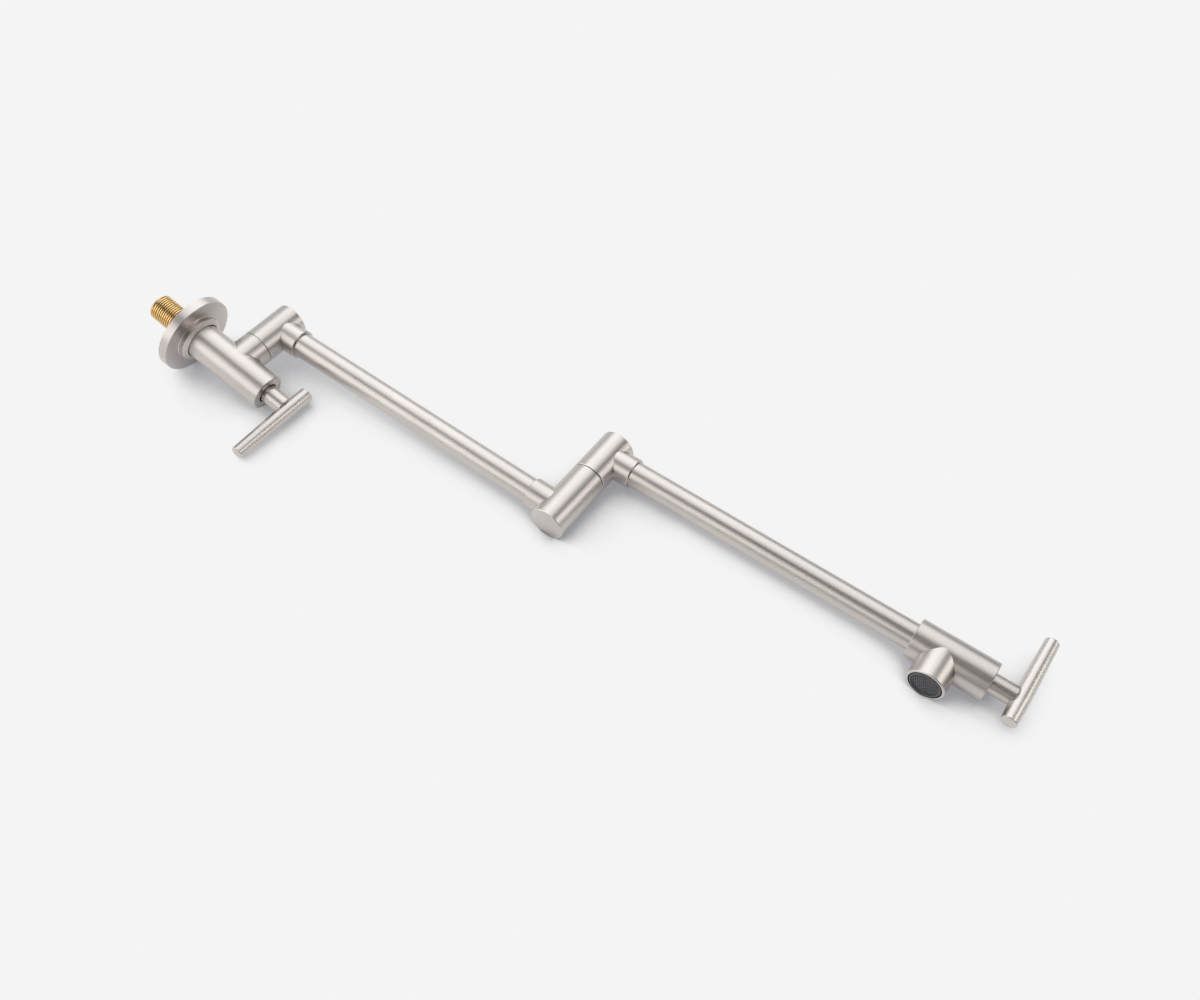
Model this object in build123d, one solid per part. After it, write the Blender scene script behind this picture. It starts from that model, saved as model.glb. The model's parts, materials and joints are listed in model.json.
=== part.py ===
from build123d import *
import os
from math import cos, pi, radians, sin

# Wall mounted pot filler: a threaded inlet and flange, a quarter-turn valve, two tube
# arms that fold on swivel joints, and a second quarter-turn valve with a down-turned
# nozzle and an aerator. Millimetres. The origin is the centre of the flange's back face,
# +X runs out of the wall along the inlet, and +Z is up.

# ---- Fits ---------------------------------------------------------------------------
RUNNING = 0.05              # radial clearance of a part that turns
SNUG = 0.03                 # radial clearance of a part that is screwed or pressed in
PLAY = 0.20                 # end play of a part that turns

# ---- Arms ---------------------------------------------------------------------------
ARM_LENGTH = 280.0          # from a swivel's axis to the next axis along the arm
TUBE_RADIUS = 10.0
TUBE_WALL = 1.5
SOCKET_RADIUS = 11.75
SOCKET_REACH = 25.2         # from the swivel's axis to the socket's mouth
SOCKET_DEPTH = 12.2
SPOUT_SOCKET_DEPTH = 11.0
GASKET_THICKNESS = 1.2
FIRST_ARM_ANGLE = -11.3     # rest angles to the wall's normal, seen from above
SECOND_ARM_ANGLE = -13.55

# ---- Swivel joints ------------------------------------------------------------------
SWIVEL_RADIUS = 14.0
SWIVEL_EDGE = 0.4           # chamfer of the ends and of the socket mouths
JOINT_GAP = 0.6             # thickness of the thrust washer between the two halves
THRUST_INSET = 0.5          # thrust washer inside the halves' outer surface
ARM_ABOVE_JOINT = 24.5      # arm's axis above the joint line
ARM_TO_TOP = 15.0           # arm's axis to the swivel's upper end
CHAMBER_RADIUS = 10.0       # ring-shaped water space around the spindle's ports
PASSAGE_RADIUS = 5.0
CHAMBER_MARGIN = 0.5        # chamber past the passage, above and below
ELBOW_DROP = 16.1           # first arm's axis to the elbow's lower end
ELBOW_RISE = 35.6           # first arm's axis to the elbow's joint line
ELBOW_PASSAGE = 5.5
SPINDLE_RADIUS = 8.0
SPINDLE_THREAD_RADIUS = 9.0
SPINDLE_THREAD_LENGTH = 12.0
SPINDLE_BORE = 4.5
SPINDLE_PORT = 3.0
SPINDLE_PORTS = 4
BORE_MARGIN = 0.5           # spindle's bore above its ports
BORE_CONE = 1.5             # height of the bore's conical end
STUD_RADIUS = 5.0
O_RING_WIDTH = 2.4
O_RING_DEPTH = 1.7
LOWER_RING_HEIGHT = 9.0     # lower O-ring's middle above the joint line
UPPER_LAND = 3.7            # bore above the chamber that holds the upper O-ring
SLIP_WASHER_RADIUS = 10.4
SLIP_WASHER_THICKNESS = 0.8
NUT_FLATS = 17.0
NUT_THICKNESS = 3.0
STUD_PROUD = 0.4            # stud above the nut
CAP_RADIUS = 11.3
CAP_THICKNESS = 1.2

# ---- Quarter-turn valves, measured along the valve from the branch or nozzle axis -------
VALVE_OVER_SWIVEL = 0.7     # valve bodies are this much larger in radius than the swivels
VALVE_FACE = 35.2           # outer end face
VALVE_EDGE = 0.5
BRANCH_HEIGHT = 24.5        # wall valve's axis to the shoulder's joint line
BRANCH_BLEND = 2.5          # fillet where the branch leaves the body
VALVE_SEAT = -7.0           # shoulder that the seat seal presses on
VALVE_PASSAGE = 6.0
VALVE_CHAMBER_RADIUS = 10.0
CARTRIDGE_THREAD_RADIUS = 11.0
THREAD_START = 11.5
THREAD_END = 22.0
COUNTERBORE_RADIUS = 12.6
SEAL_THICKNESS = 2.2
SEAL_PROUD = 0.3            # seat seal below the shell's rim
SHELL_RADIUS = 8.6
SHELL_WALL = 1.3
DISC_THICKNESS = 3.0
DISC_HUB = 1.5              # middle of a disc between its two ports
DISC_RIM = 1.3              # rim of a disc outside its ports
DISC_PORT_ANGLE = 72.0
WINDOW_WIDTH = 9.0
WINDOW_HEIGHT = 6.0
TONGUE_WIDTH = 4.0
TONGUE_BITE = 1.2           # depth of the turning disc's slot
CARRIER_THICKNESS = 1.6
SHELL_RING_GAP = 0.6        # wall between the windows and the shell's O-ring
SHELL_RING_WIDTH = 2.0
SHELL_RING_DEPTH = 0.6
HEX_FLATS = 21.0
HEX_HEIGHT = 6.0
STEM_RADIUS = 5.0
STEM_RING_WIDTH = 1.8
STEM_RING_DEPTH = 1.2
STEM_RINGS = 2
CLIP_THICKNESS = 1.0
CLIP_DEPTH = 0.8
CLIP_RADIUS = 6.4
CLIP_GAP_ANGLE = 50.0
SPLINE_RADIUS = 4.1
SPLINE_DEPTH = 0.45
SPLINE_TEETH = 20
BONNET_THICKNESS = 4.7
BONNET_HOLE = 8.5
BONNET_SUNK = 0.15          # bonnet ring behind the body's end face

# ---- Handles ------------------------------------------------------------------------
HUB_RADIUS = 7.5
HUB_SUNK = 2.2              # hub's end inside the bonnet ring
HUB_SPLINE_ROOM = 1.0       # socket beyond the stem's end
HUB_WEB = 3.8               # solid hub between its socket and the bar
HUB_END_DROP = 3.2          # hub's outer end short of the bar's axis
HUB_EDGE = 0.8
BAR_HEIGHT = 56.5           # bar's axis from the branch or nozzle axis
BAR_RADIUS = 6.2
BAR_LONG_TIP_RADIUS = 5.2
BAR_SHORT_TIP_RADIUS = 5.8
BAR_LONG = 54.0
BAR_SHORT = 20.2
BAR_EDGE = 0.6
TENON_RADIUS = 3.0
TENON_LENGTH = 4.0          # past the bar's axis
SET_SCREW_RADIUS = 2.0
SET_SCREW_KEY = 1.0         # hexagon socket's radius
SET_SCREW_SUNK = 0.4

# ---- Inlet and flange ---------------------------------------------------------------
WALL_TO_SHOULDER = 46.3
INLET_THREAD_RADIUS = 10.4775
INLET_THREAD_LENGTH = 32.8  # behind the wall
INLET_BORE = 7.0
INLET_CHAMFER = 1.0
INLET_GRIP = 15.0           # thread in the valve body
INLET_GRIP_RADIUS = 9.9
BODY_START = 3.0            # valve body's inner end in front of the wall
FLANGE_RADIUS = 32.2
FLANGE_THICKNESS = 7.2
FLANGE_SKIN = 2.5
FLANGE_RIM = 6.0
FLANGE_EDGE = 0.35
BOSS_RADIUS = 19.2
BOSS_PROUD = 4.3
BOSS_CROWN = 1.8            # rise of the boss's face towards the valve body
BOSS_COVE = 0.4
SLEEVE_WALL = 2.4
FLANGE_CLEARANCE = 0.4      # around the valve body
BOSS_MOUTH = 0.3            # chamfer at the boss's mouth
GASKET_WIDTH = 2.0
GASKET_DEPTH = 2.0
FLANGE_RING_WIDTH = 2.0
FLANGE_RING_DEPTH = 1.2

# ---- Nozzle and aerator, measured down from the second arm's axis -----------------------
NOZZLE_DROP = 28.8
NOZZLE_RADIUS = 14.0
NOZZLE_TOP_RADIUS = 14.2
NOZZLE_EDGE = 0.5
NOZZLE_PASSAGE = 6.5
SPOUT_TAIL = 22.6           # spout valve body's inner end from the nozzle axis
AERATOR_SEAT = 15.0
AERATOR_RADIUS = 11.9
AERATOR_SUNK = 0.1          # housing above the nozzle's rim
MOUTH_RELIEF = 0.4          # wider bore at the nozzle's mouth
MOUTH_DEPTH = 4.0
AERATOR_NECK = 0.5          # housing's lower part inside its thread
AERATOR_WALL = 0.8
AERATOR_LIP = 0.3
AERATOR_WASHER = 1.6
JET_PLATE_THICKNESS = 2.0
JET_HOLES = 16
JET_HOLE_RADIUS = 0.6
JET_CIRCLE = 0.72           # hole circle as a share of the plate's radius
GRID_THICKNESS = 2.4
GRID_PITCH = 2.1
GRID_RIB = 0.45
GRID_RIM = 0.5

VALVE_RADIUS = SWIVEL_RADIUS + VALVE_OVER_SWIVEL
SWIVEL_TOP = ARM_ABOVE_JOINT + ARM_TO_TOP
CHAMBER_HALF = PASSAGE_RADIUS + CHAMBER_MARGIN
LEDGE = ARM_ABOVE_JOINT + CHAMBER_HALF + UPPER_LAND
SEAT_INSET = SOCKET_REACH - SOCKET_DEPTH
TUBE_INSET = SEAT_INSET + GASKET_THICKNESS


# ---- Shapes that many pieces share --------------------------------------------------
def turned(points):
    """Solid of revolution about Z of an outline of (radius, height) points."""
    outline = Polyline(*[(radius, 0, height) for radius, height in points], close=True)
    return revolve(make_face(outline), Axis.Z)


def rod(radius, low, high):
    """Round bar about Z."""
    bar = Cylinder(radius, high - low, align=(Align.CENTER, Align.CENTER, Align.MIN))
    return Pos(0, 0, low) * bar


def pipe(outer, inner, low, high):
    """Round ring or tube about Z."""
    return turned([(inner, low), (outer, low), (outer, high), (inner, high)])


def along_x(shape):
    """Turn a shape that stands along Z so that it lies along +X."""
    return Rot(0, 90, 0) * shape


def hexagon(flats, low, high):
    """Hexagonal bar about Z, by its width across flats."""
    outline = RegularPolygon(flats / 2, 6, major_radius=False)
    return Pos(0, 0, low) * extrude(outline, high - low)


def o_ring(inner, outer, low, high):
    """O-ring squeezed between two round walls."""
    middle = (inner + outer) / 2
    crown = (high - low) / 4
    return turned([
        (inner, low + crown),
        (middle, low),
        (outer, low + crown),
        (outer, high - crown),
        (middle, high),
        (inner, high - crown),
    ])


def splined(radius, depth, low, high):
    """Toothed bar about Z."""
    points = []
    for tooth in range(SPLINE_TEETH):
        for step, reach in ((0.0, radius), (0.5, radius - depth)):
            angle = 2 * pi * (tooth + step) / SPLINE_TEETH
            points.append((reach * cos(angle), reach * sin(angle)))
    return Pos(0, 0, low) * extrude(make_face(Polyline(*points, close=True)), high - low)


def chamfered_ends(shape, length):
    """Chamfer the outermost round edge of both flat ends of a shape that stands along Z."""
    ends = [shape.faces().sort_by(Axis.Z)[index] for index in (0, -1)]
    rims = [face.outer_wire().edges() for face in ends]
    return chamfer([edge for rim in rims for edge in rim], length)


# ---- Places -------------------------------------------------------------------------
def heading(angle):
    """Level unit vector at an angle to +X."""
    return Vector(cos(radians(angle)), sin(radians(angle)), 0)


first_arm_height = BRANCH_HEIGHT + ARM_ABOVE_JOINT
elbow_joint_height = first_arm_height + ELBOW_RISE
second_arm_height = elbow_joint_height + ARM_ABOVE_JOINT

shoulder = Vector(WALL_TO_SHOULDER, 0, 0)
elbow = shoulder + heading(FIRST_ARM_ANGLE) * ARM_LENGTH
nozzle = elbow + heading(SECOND_ARM_ANGLE) * ARM_LENGTH

up = Vector(0, 0, 1)
at_inlet_valve = Plane(shoulder, x_dir=up, z_dir=heading(0)).location
at_shoulder_joint = Pos(shoulder + up * BRANCH_HEIGHT) * Rot(0, 0, FIRST_ARM_ANGLE)
at_first_arm = Plane(
    shoulder + up * first_arm_height, x_dir=up, z_dir=heading(FIRST_ARM_ANGLE)
).location
at_elbow_foot = Pos(elbow + up * first_arm_height) * Rot(0, 0, FIRST_ARM_ANGLE + 180)
at_elbow_joint = Pos(elbow + up * elbow_joint_height) * Rot(0, 0, SECOND_ARM_ANGLE)
at_second_arm = Plane(
    elbow + up * second_arm_height, x_dir=up, z_dir=heading(SECOND_ARM_ANGLE)
).location
at_spout_valve = Plane(
    nozzle + up * second_arm_height, x_dir=up, z_dir=heading(SECOND_ARM_ANGLE)
).location
at_nozzle = Pos(nozzle + up * second_arm_height) * Rot(0, 0, SECOND_ARM_ANGLE)


# ---- Swivel joint, standing on its joint line, with its arm along +X ----------------------
spindle_groove = SPINDLE_RADIUS - O_RING_DEPTH
upper_ring_height = LEDGE - UPPER_LAND / 2
washer_low = LEDGE + PLAY
nut_low = washer_low + SLIP_WASHER_THICKNESS
nut_high = nut_low + NUT_THICKNESS
ring_heights = (LOWER_RING_HEIGHT, upper_ring_height)


def socket_outside():
    """Outside of a tube socket that stands along Z from the swivel's axis."""
    return turned([
        (0, 0),
        (SOCKET_RADIUS, 0),
        (SOCKET_RADIUS, SOCKET_REACH - SWIVEL_EDGE),
        (SOCKET_RADIUS - SWIVEL_EDGE, SOCKET_REACH),
        (0, SOCKET_REACH),
    ])


def socket_bore(passage):
    """Water passage and tube seat of a socket."""
    return rod(passage, 0, SEAT_INSET) + rod(TUBE_RADIUS + SNUG, SEAT_INSET, SOCKET_REACH)


def swivel_body():
    """Upper half of a swivel: a stub with a side socket that takes the arm's tube."""
    body = chamfered_ends(rod(SWIVEL_RADIUS, JOINT_GAP, SWIVEL_TOP), SWIVEL_EDGE)
    lift = Pos(0, 0, ARM_ABOVE_JOINT)
    body += lift * along_x(socket_outside())
    body -= rod(SPINDLE_RADIUS + RUNNING, JOINT_GAP, LEDGE)
    body -= lift * rod(CHAMBER_RADIUS, -CHAMBER_HALF, CHAMBER_HALF)
    body -= rod(CAP_RADIUS, LEDGE, SWIVEL_TOP)
    body -= lift * along_x(socket_bore(PASSAGE_RADIUS))
    return body


def swivel_cap():
    """Disc pressed into the swivel's upper end."""
    return chamfered_ends(
        rod(CAP_RADIUS - SNUG, SWIVEL_TOP - CAP_THICKNESS, SWIVEL_TOP), SWIVEL_EDGE / 2
    )


def swivel_spindle():
    """Hollow spindle that is screwed into the lower half and carries the upper one."""
    low = -SPINDLE_THREAD_LENGTH
    roof = ARM_ABOVE_JOINT + SPINDLE_PORT + BORE_MARGIN
    outline = [
        (SPINDLE_BORE, low),
        (SPINDLE_THREAD_RADIUS, low),
        (SPINDLE_THREAD_RADIUS, -PLAY),
        (SPINDLE_RADIUS, -PLAY),
    ]
    for middle in ring_heights:
        outline += [
            (SPINDLE_RADIUS, middle - O_RING_WIDTH / 2),
            (spindle_groove, middle - O_RING_WIDTH / 2),
            (spindle_groove, middle + O_RING_WIDTH / 2),
            (SPINDLE_RADIUS, middle + O_RING_WIDTH / 2),
        ]
    outline += [
        (SPINDLE_RADIUS, washer_low),
        (STUD_RADIUS, washer_low),
        (STUD_RADIUS, nut_high + STUD_PROUD),
        (0, nut_high + STUD_PROUD),
        (0, roof + BORE_CONE),
        (SPINDLE_BORE, roof),
    ]
    spindle = turned(outline)
    port = Pos(0, 0, ARM_ABOVE_JOINT) * along_x(rod(SPINDLE_PORT, 0, SPINDLE_RADIUS + 1))
    for index in range(SPINDLE_PORTS):
        spindle -= Rot(0, 0, 360 / SPINDLE_PORTS * index) * port
    return spindle


def swivel_o_rings():
    """The two O-rings on the spindle, below and above its ports."""
    return [
        o_ring(
            spindle_groove, SPINDLE_RADIUS, middle - O_RING_WIDTH / 2, middle + O_RING_WIDTH / 2
        )
        for middle in ring_heights
    ]


def thrust_washer():
    """Low-friction washer that shows as the dark joint line."""
    return pipe(SWIVEL_RADIUS - THRUST_INSET, SPINDLE_RADIUS + RUNNING, 0, JOINT_GAP)


def slip_washer():
    """Washer between the nut and the swivel's inner ledge."""
    return pipe(SLIP_WASHER_RADIUS, STUD_RADIUS + SNUG, washer_low, nut_low)


def retaining_nut():
    """Nut that keeps the swivel on its spindle."""
    return hexagon(NUT_FLATS, nut_low, nut_high) - rod(STUD_RADIUS + SNUG, nut_low, nut_high)


def elbow_lower_body():
    """Lower half of the elbow, from the first arm's axis, with its socket along +X."""
    body = chamfered_ends(rod(SWIVEL_RADIUS, -ELBOW_DROP, ELBOW_RISE), SWIVEL_EDGE)
    thread_floor = ELBOW_RISE - SPINDLE_THREAD_LENGTH
    body += along_x(socket_outside())
    body -= along_x(socket_bore(ELBOW_PASSAGE))
    body -= rod(ELBOW_PASSAGE, -ELBOW_PASSAGE, thread_floor)
    body -= rod(SPINDLE_THREAD_RADIUS + SNUG, thread_floor, ELBOW_RISE)
    return body


# ---- Arms, along +Z from the swivel's axis ----------------------------------------------
spout_seat = ARM_LENGTH - SPOUT_TAIL + SPOUT_SOCKET_DEPTH
first_arm_span = (TUBE_INSET, ARM_LENGTH - TUBE_INSET)
second_arm_span = (TUBE_INSET, spout_seat - GASKET_THICKNESS)


def arm_tube(span):
    """Plain tube between two gaskets."""
    return pipe(TUBE_RADIUS, TUBE_RADIUS - TUBE_WALL, *span)


def arm_gaskets(span):
    """Flat gasket at each end of an arm's tube."""
    low, high = span
    return [
        pipe(TUBE_RADIUS, TUBE_RADIUS - TUBE_WALL, low - GASKET_THICKNESS, low),
        pipe(TUBE_RADIUS, TUBE_RADIUS - TUBE_WALL, high, high + GASKET_THICKNESS),
    ]


# ---- Quarter-turn valve, along +Z, with the branch along +X or the nozzle along -X ---------
shell_bore = SHELL_RADIUS - SHELL_WALL
shell_rim = VALVE_SEAT + SEAL_PROUD
fixed_disc_low = VALVE_SEAT + SEAL_THICKNESS
turning_disc_low = fixed_disc_low + DISC_THICKNESS
turning_disc_high = turning_disc_low + DISC_THICKNESS
window_low = turning_disc_high
window_high = window_low + WINDOW_HEIGHT
carrier_high = window_high
carrier_low = carrier_high - CARRIER_THICKNESS
shell_ring_low = window_high + SHELL_RING_GAP
shell_ring_high = shell_ring_low + SHELL_RING_WIDTH
hex_high = THREAD_END + HEX_HEIGHT
clip_low = hex_high + PLAY
clip_high = clip_low + CLIP_THICKNESS
spline_low = clip_high + CLIP_THICKNESS
spline_high = BAR_HEIGHT - BAR_RADIUS - HUB_WEB - HUB_SPLINE_ROOM
bonnet_high = VALVE_FACE - BONNET_SUNK
bonnet_low = bonnet_high - BONNET_THICKNESS
hub_low = VALVE_FACE - HUB_SUNK
hub_high = BAR_HEIGHT - HUB_END_DROP
set_screw_height = (VALVE_FACE + spline_high) / 2


def valve_cavity(passage_start):
    """Everything that is bored out of a valve body for its cartridge."""
    return (
        rod(VALVE_PASSAGE, passage_start, VALVE_SEAT)
        + rod(VALVE_CHAMBER_RADIUS, VALVE_SEAT, THREAD_START)
        + rod(CARTRIDGE_THREAD_RADIUS + SNUG, THREAD_START, THREAD_END)
        + rod(COUNTERBORE_RADIUS, THREAD_END, VALVE_FACE)
    )


def cartridge_shell():
    """Threaded shell of the cartridge with two side windows and a hexagon."""
    shell = turned([
        (shell_bore, shell_rim),
        (SHELL_RADIUS, shell_rim),
        (SHELL_RADIUS, shell_ring_low),
        (SHELL_RADIUS - SHELL_RING_DEPTH, shell_ring_low),
        (SHELL_RADIUS - SHELL_RING_DEPTH, shell_ring_high),
        (SHELL_RADIUS, shell_ring_high),
        (SHELL_RADIUS, THREAD_START),
        (CARTRIDGE_THREAD_RADIUS, THREAD_START),
        (CARTRIDGE_THREAD_RADIUS, THREAD_END),
        (STEM_RADIUS + RUNNING, THREAD_END),
        (STEM_RADIUS + RUNNING, carrier_high + PLAY),
        (shell_bore, carrier_high + PLAY),
    ])
    window = Box(2 * (SHELL_RADIUS + 1), WINDOW_WIDTH, WINDOW_HEIGHT)
    shell -= Pos(0, 0, (window_low + window_high) / 2) * window
    head = hexagon(HEX_FLATS, THREAD_END, hex_high)
    return shell + head - rod(STEM_RADIUS + RUNNING, THREAD_END, hex_high)


def cartridge_o_ring():
    """O-ring that closes the shell against the valve body."""
    return o_ring(
        SHELL_RADIUS - SHELL_RING_DEPTH, VALVE_CHAMBER_RADIUS, shell_ring_low, shell_ring_high
    )


def seat_seal():
    """Rubber seal between the seat in the body and the fixed disc."""
    return pipe(shell_bore - SNUG, VALVE_PASSAGE - 1, VALVE_SEAT, fixed_disc_low)


def ceramic_disc(low):
    """Ceramic disc with two opposite ports, which lie towards +X and -X."""
    radius = shell_bore - RUNNING
    disc = rod(radius, low, low + DISC_THICKNESS)
    reach = radius * 2
    half = radians(DISC_PORT_ANGLE / 2)
    wedge = make_face(Polyline(
        (0, 0), (reach * cos(half), -reach * sin(half)), (reach * cos(half), reach * sin(half)),
        close=True,
    ))
    sector = Pos(0, 0, low) * extrude(wedge, DISC_THICKNESS)
    port = pipe(radius - DISC_RIM, DISC_HUB, low, low + DISC_THICKNESS) & sector
    return disc - port - Rot(0, 0, 180) * port


def turning_disc():
    """Upper disc, a quarter turn off its ports when closed, with a slot for the stem."""
    slot = Box(2 * shell_bore, TONGUE_WIDTH + 2 * SNUG, TONGUE_BITE, align=(
        Align.CENTER, Align.CENTER, Align.MAX
    ))
    closed = Rot(0, 0, 90) * ceramic_disc(turning_disc_low)
    return closed - Pos(0, 0, turning_disc_high) * slot


def stem():
    """Stem with a tongue for the disc, O-ring grooves, a clip groove and a spline."""
    groove = STEM_RADIUS - STEM_RING_DEPTH
    clip_groove = STEM_RADIUS - CLIP_DEPTH
    outline = [
        (0, carrier_low),
        (shell_bore - RUNNING, carrier_low),
        (shell_bore - RUNNING, carrier_high),
        (STEM_RADIUS, carrier_high),
    ]
    for low in stem_ring_lows:
        outline += [
            (STEM_RADIUS, low),
            (groove, low),
            (groove, low + STEM_RING_WIDTH),
            (STEM_RADIUS, low + STEM_RING_WIDTH),
        ]
    outline += [
        (STEM_RADIUS, clip_low),
        (clip_groove, clip_low),
        (clip_groove, clip_high),
        (STEM_RADIUS, clip_high),
        (STEM_RADIUS, spline_low),
        (0, spline_low),
    ]
    tongue = Box(
        2 * (shell_bore - 2 * RUNNING),
        TONGUE_WIDTH,
        carrier_low - turning_disc_high + TONGUE_BITE,
        align=(Align.CENTER, Align.CENTER, Align.MAX),
    )
    tongue = (Pos(0, 0, carrier_low) * tongue) & rod(shell_bore - RUNNING, VALVE_SEAT, carrier_low)
    return turned(outline) + tongue + splined(SPLINE_RADIUS, SPLINE_DEPTH, spline_low, spline_high)


stem_room = THREAD_END - carrier_high
stem_ring_lows = [
    carrier_high + stem_room * (index + 1) / (STEM_RINGS + 1) - STEM_RING_WIDTH / 2
    for index in range(STEM_RINGS)
]


def stem_o_rings():
    """O-rings that seal the stem in the shell."""
    inner = STEM_RADIUS - STEM_RING_DEPTH
    return [o_ring(inner, STEM_RADIUS, low, low + STEM_RING_WIDTH) for low in stem_ring_lows]


def stem_clip():
    """Open spring clip that keeps the stem in the shell."""
    ring = pipe(CLIP_RADIUS, STEM_RADIUS - CLIP_DEPTH, clip_low, clip_high)
    half = radians(CLIP_GAP_ANGLE / 2)
    reach = CLIP_RADIUS * 2
    wedge = make_face(Polyline(
        (0, 0), (reach * cos(half), -reach * sin(half)), (reach * cos(half), reach * sin(half)),
        close=True,
    ))
    return ring - Pos(0, 0, clip_low) * extrude(wedge, CLIP_THICKNESS)


def bonnet_ring():
    """Threaded ring that closes the body's end around the handle's hub."""
    edge = VALVE_EDGE / 2
    return turned([
        (BONNET_HOLE, bonnet_low),
        (COUNTERBORE_RADIUS - SNUG, bonnet_low),
        (COUNTERBORE_RADIUS - SNUG, bonnet_high - edge),
        (COUNTERBORE_RADIUS - SNUG - edge, bonnet_high),
        (BONNET_HOLE + edge, bonnet_high),
        (BONNET_HOLE, bonnet_high - edge),
    ])


# ---- Handle, on the valve's frame, with its long end along +X ------------------------------
def handle_bar_shape():
    """Bar that tapers both ways from the hub."""
    profile = Polyline(
        (0, 0, -BAR_SHORT),
        (BAR_SHORT_TIP_RADIUS, 0, -BAR_SHORT),
        (BAR_RADIUS, 0, 0),
        (BAR_LONG_TIP_RADIUS, 0, BAR_LONG),
        (0, 0, BAR_LONG),
        close=True,
    )
    bar = revolve(make_face(profile), Axis.Z)
    tips = [edge for edge in bar.edges() if abs(edge.center().Z) > BAR_SHORT / 2]
    rims = [edge for edge in tips if edge.geom_type == GeomType.CIRCLE]
    return Pos(0, 0, BAR_HEIGHT) * along_x(fillet(rims, BAR_EDGE))


def at_set_screw(side):
    """Place of the set screw, on the +Y side of the valve's frame or, with -1, on the -Y side."""
    return Pos(0, 0, set_screw_height) * Rot(-90 * side, 0, 0)


def handle_hub(side):
    """Hub with a toothed socket, a saddle for the bar and a tenon in the bar."""
    hub = turned([
        (0, hub_low),
        (HUB_RADIUS, hub_low),
        (HUB_RADIUS, hub_high - HUB_EDGE),
        (HUB_RADIUS - HUB_EDGE, hub_high),
        (0, hub_high),
    ])
    hub -= handle_bar_shape()
    hub -= splined(
        SPLINE_RADIUS + RUNNING, SPLINE_DEPTH, hub_low, spline_high + HUB_SPLINE_ROOM
    )
    hub -= at_set_screw(side) * rod(SET_SCREW_RADIUS + SNUG, 0, HUB_RADIUS + 1)
    return hub + rod(TENON_RADIUS, BAR_HEIGHT - BAR_RADIUS - 1, BAR_HEIGHT + TENON_LENGTH)


def handle_bar():
    """Tapered bar with a blind hole for the hub's tenon."""
    hole = rod(TENON_RADIUS + SNUG, BAR_HEIGHT - BAR_RADIUS - 1, BAR_HEIGHT + TENON_LENGTH)
    return handle_bar_shape() - hole


def handle_set_screw(side):
    """Grub screw that holds the hub on the stem."""
    tip = SPLINE_RADIUS + RUNNING
    head = HUB_RADIUS - SET_SCREW_SUNK
    screw = rod(SET_SCREW_RADIUS, tip, head)
    key = RegularPolygon(SET_SCREW_KEY, 6, major_radius=False)
    screw -= Pos(0, 0, (tip + head) / 2) * extrude(key, head - tip)
    return at_set_screw(side) * screw


# ---- Inlet, on the wall valve's frame --------------------------------------------------------
wall = -WALL_TO_SHOULDER
inlet_seat = wall + BODY_START + INLET_GRIP
flange_bore = VALVE_RADIUS + FLANGE_CLEARANCE
flange_front = wall + FLANGE_THICKNESS
boss_front = flange_front + BOSS_PROUD
flange_ring_low = flange_front - FLANGE_RING_WIDTH / 2


def inlet_nipple():
    """Brass nipple, plain at its threads' outer sizes."""
    low = wall - INLET_THREAD_LENGTH
    return turned([
        (INLET_BORE, low),
        (INLET_THREAD_RADIUS - INLET_CHAMFER, low),
        (INLET_THREAD_RADIUS, low + INLET_CHAMFER),
        (INLET_THREAD_RADIUS, wall),
        (INLET_GRIP_RADIUS, wall),
        (INLET_GRIP_RADIUS, inlet_seat),
        (INLET_BORE, inlet_seat),
    ])


def inlet_valve_body():
    """Valve body with the inlet at one end and the branch to the shoulder."""
    body = chamfered_ends(rod(VALVE_RADIUS, wall + BODY_START, VALVE_FACE), VALVE_EDGE)
    body += along_x(rod(SWIVEL_RADIUS, 0, BRANCH_HEIGHT))
    plain = (GeomType.CIRCLE, GeomType.LINE)
    saddle = [edge for edge in body.edges() if edge.geom_type not in plain]
    body = fillet(saddle, BRANCH_BLEND)
    body -= valve_cavity(inlet_seat)
    body -= rod(INLET_GRIP_RADIUS + SNUG, wall + BODY_START, inlet_seat)
    floor = BRANCH_HEIGHT - SPINDLE_THREAD_LENGTH
    body -= along_x(rod(VALVE_PASSAGE, 0, floor))
    body -= along_x(rod(SPINDLE_THREAD_RADIUS + SNUG, floor, BRANCH_HEIGHT))
    return body


def wall_flange():
    """Turned flange, hollow at the back, with a boss around the valve body."""
    rim_inner = FLANGE_RADIUS - FLANGE_RIM
    gasket_outer = (FLANGE_RADIUS + rim_inner + GASKET_WIDTH) / 2
    sleeve = flange_bore + SLEEVE_WALL
    skin = flange_front - FLANGE_SKIN
    outline = [
        (rim_inner, wall),
        (gasket_outer - GASKET_WIDTH, wall),
        (gasket_outer - GASKET_WIDTH, wall + GASKET_DEPTH),
        (gasket_outer, wall + GASKET_DEPTH),
        (gasket_outer, wall),
        (FLANGE_RADIUS, wall),
        (FLANGE_RADIUS, flange_front - FLANGE_EDGE),
        (FLANGE_RADIUS - FLANGE_EDGE, flange_front),
        (BOSS_RADIUS + BOSS_COVE, flange_front),
        (BOSS_RADIUS, flange_front + BOSS_COVE),
        (BOSS_RADIUS, boss_front - FLANGE_EDGE),
        (BOSS_RADIUS - FLANGE_EDGE, boss_front),
        (flange_bore + BOSS_MOUTH, boss_front + BOSS_CROWN),
        (flange_bore, boss_front + BOSS_CROWN - BOSS_MOUTH),
        (flange_bore, flange_ring_low + FLANGE_RING_WIDTH),
        (flange_bore + FLANGE_RING_DEPTH, flange_ring_low + FLANGE_RING_WIDTH),
        (flange_bore + FLANGE_RING_DEPTH, flange_ring_low),
        (flange_bore, flange_ring_low),
        (flange_bore, wall + BODY_START),
        (sleeve, wall + BODY_START),
        (sleeve, skin),
        (rim_inner, skin),
    ]
    return turned(outline)


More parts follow.
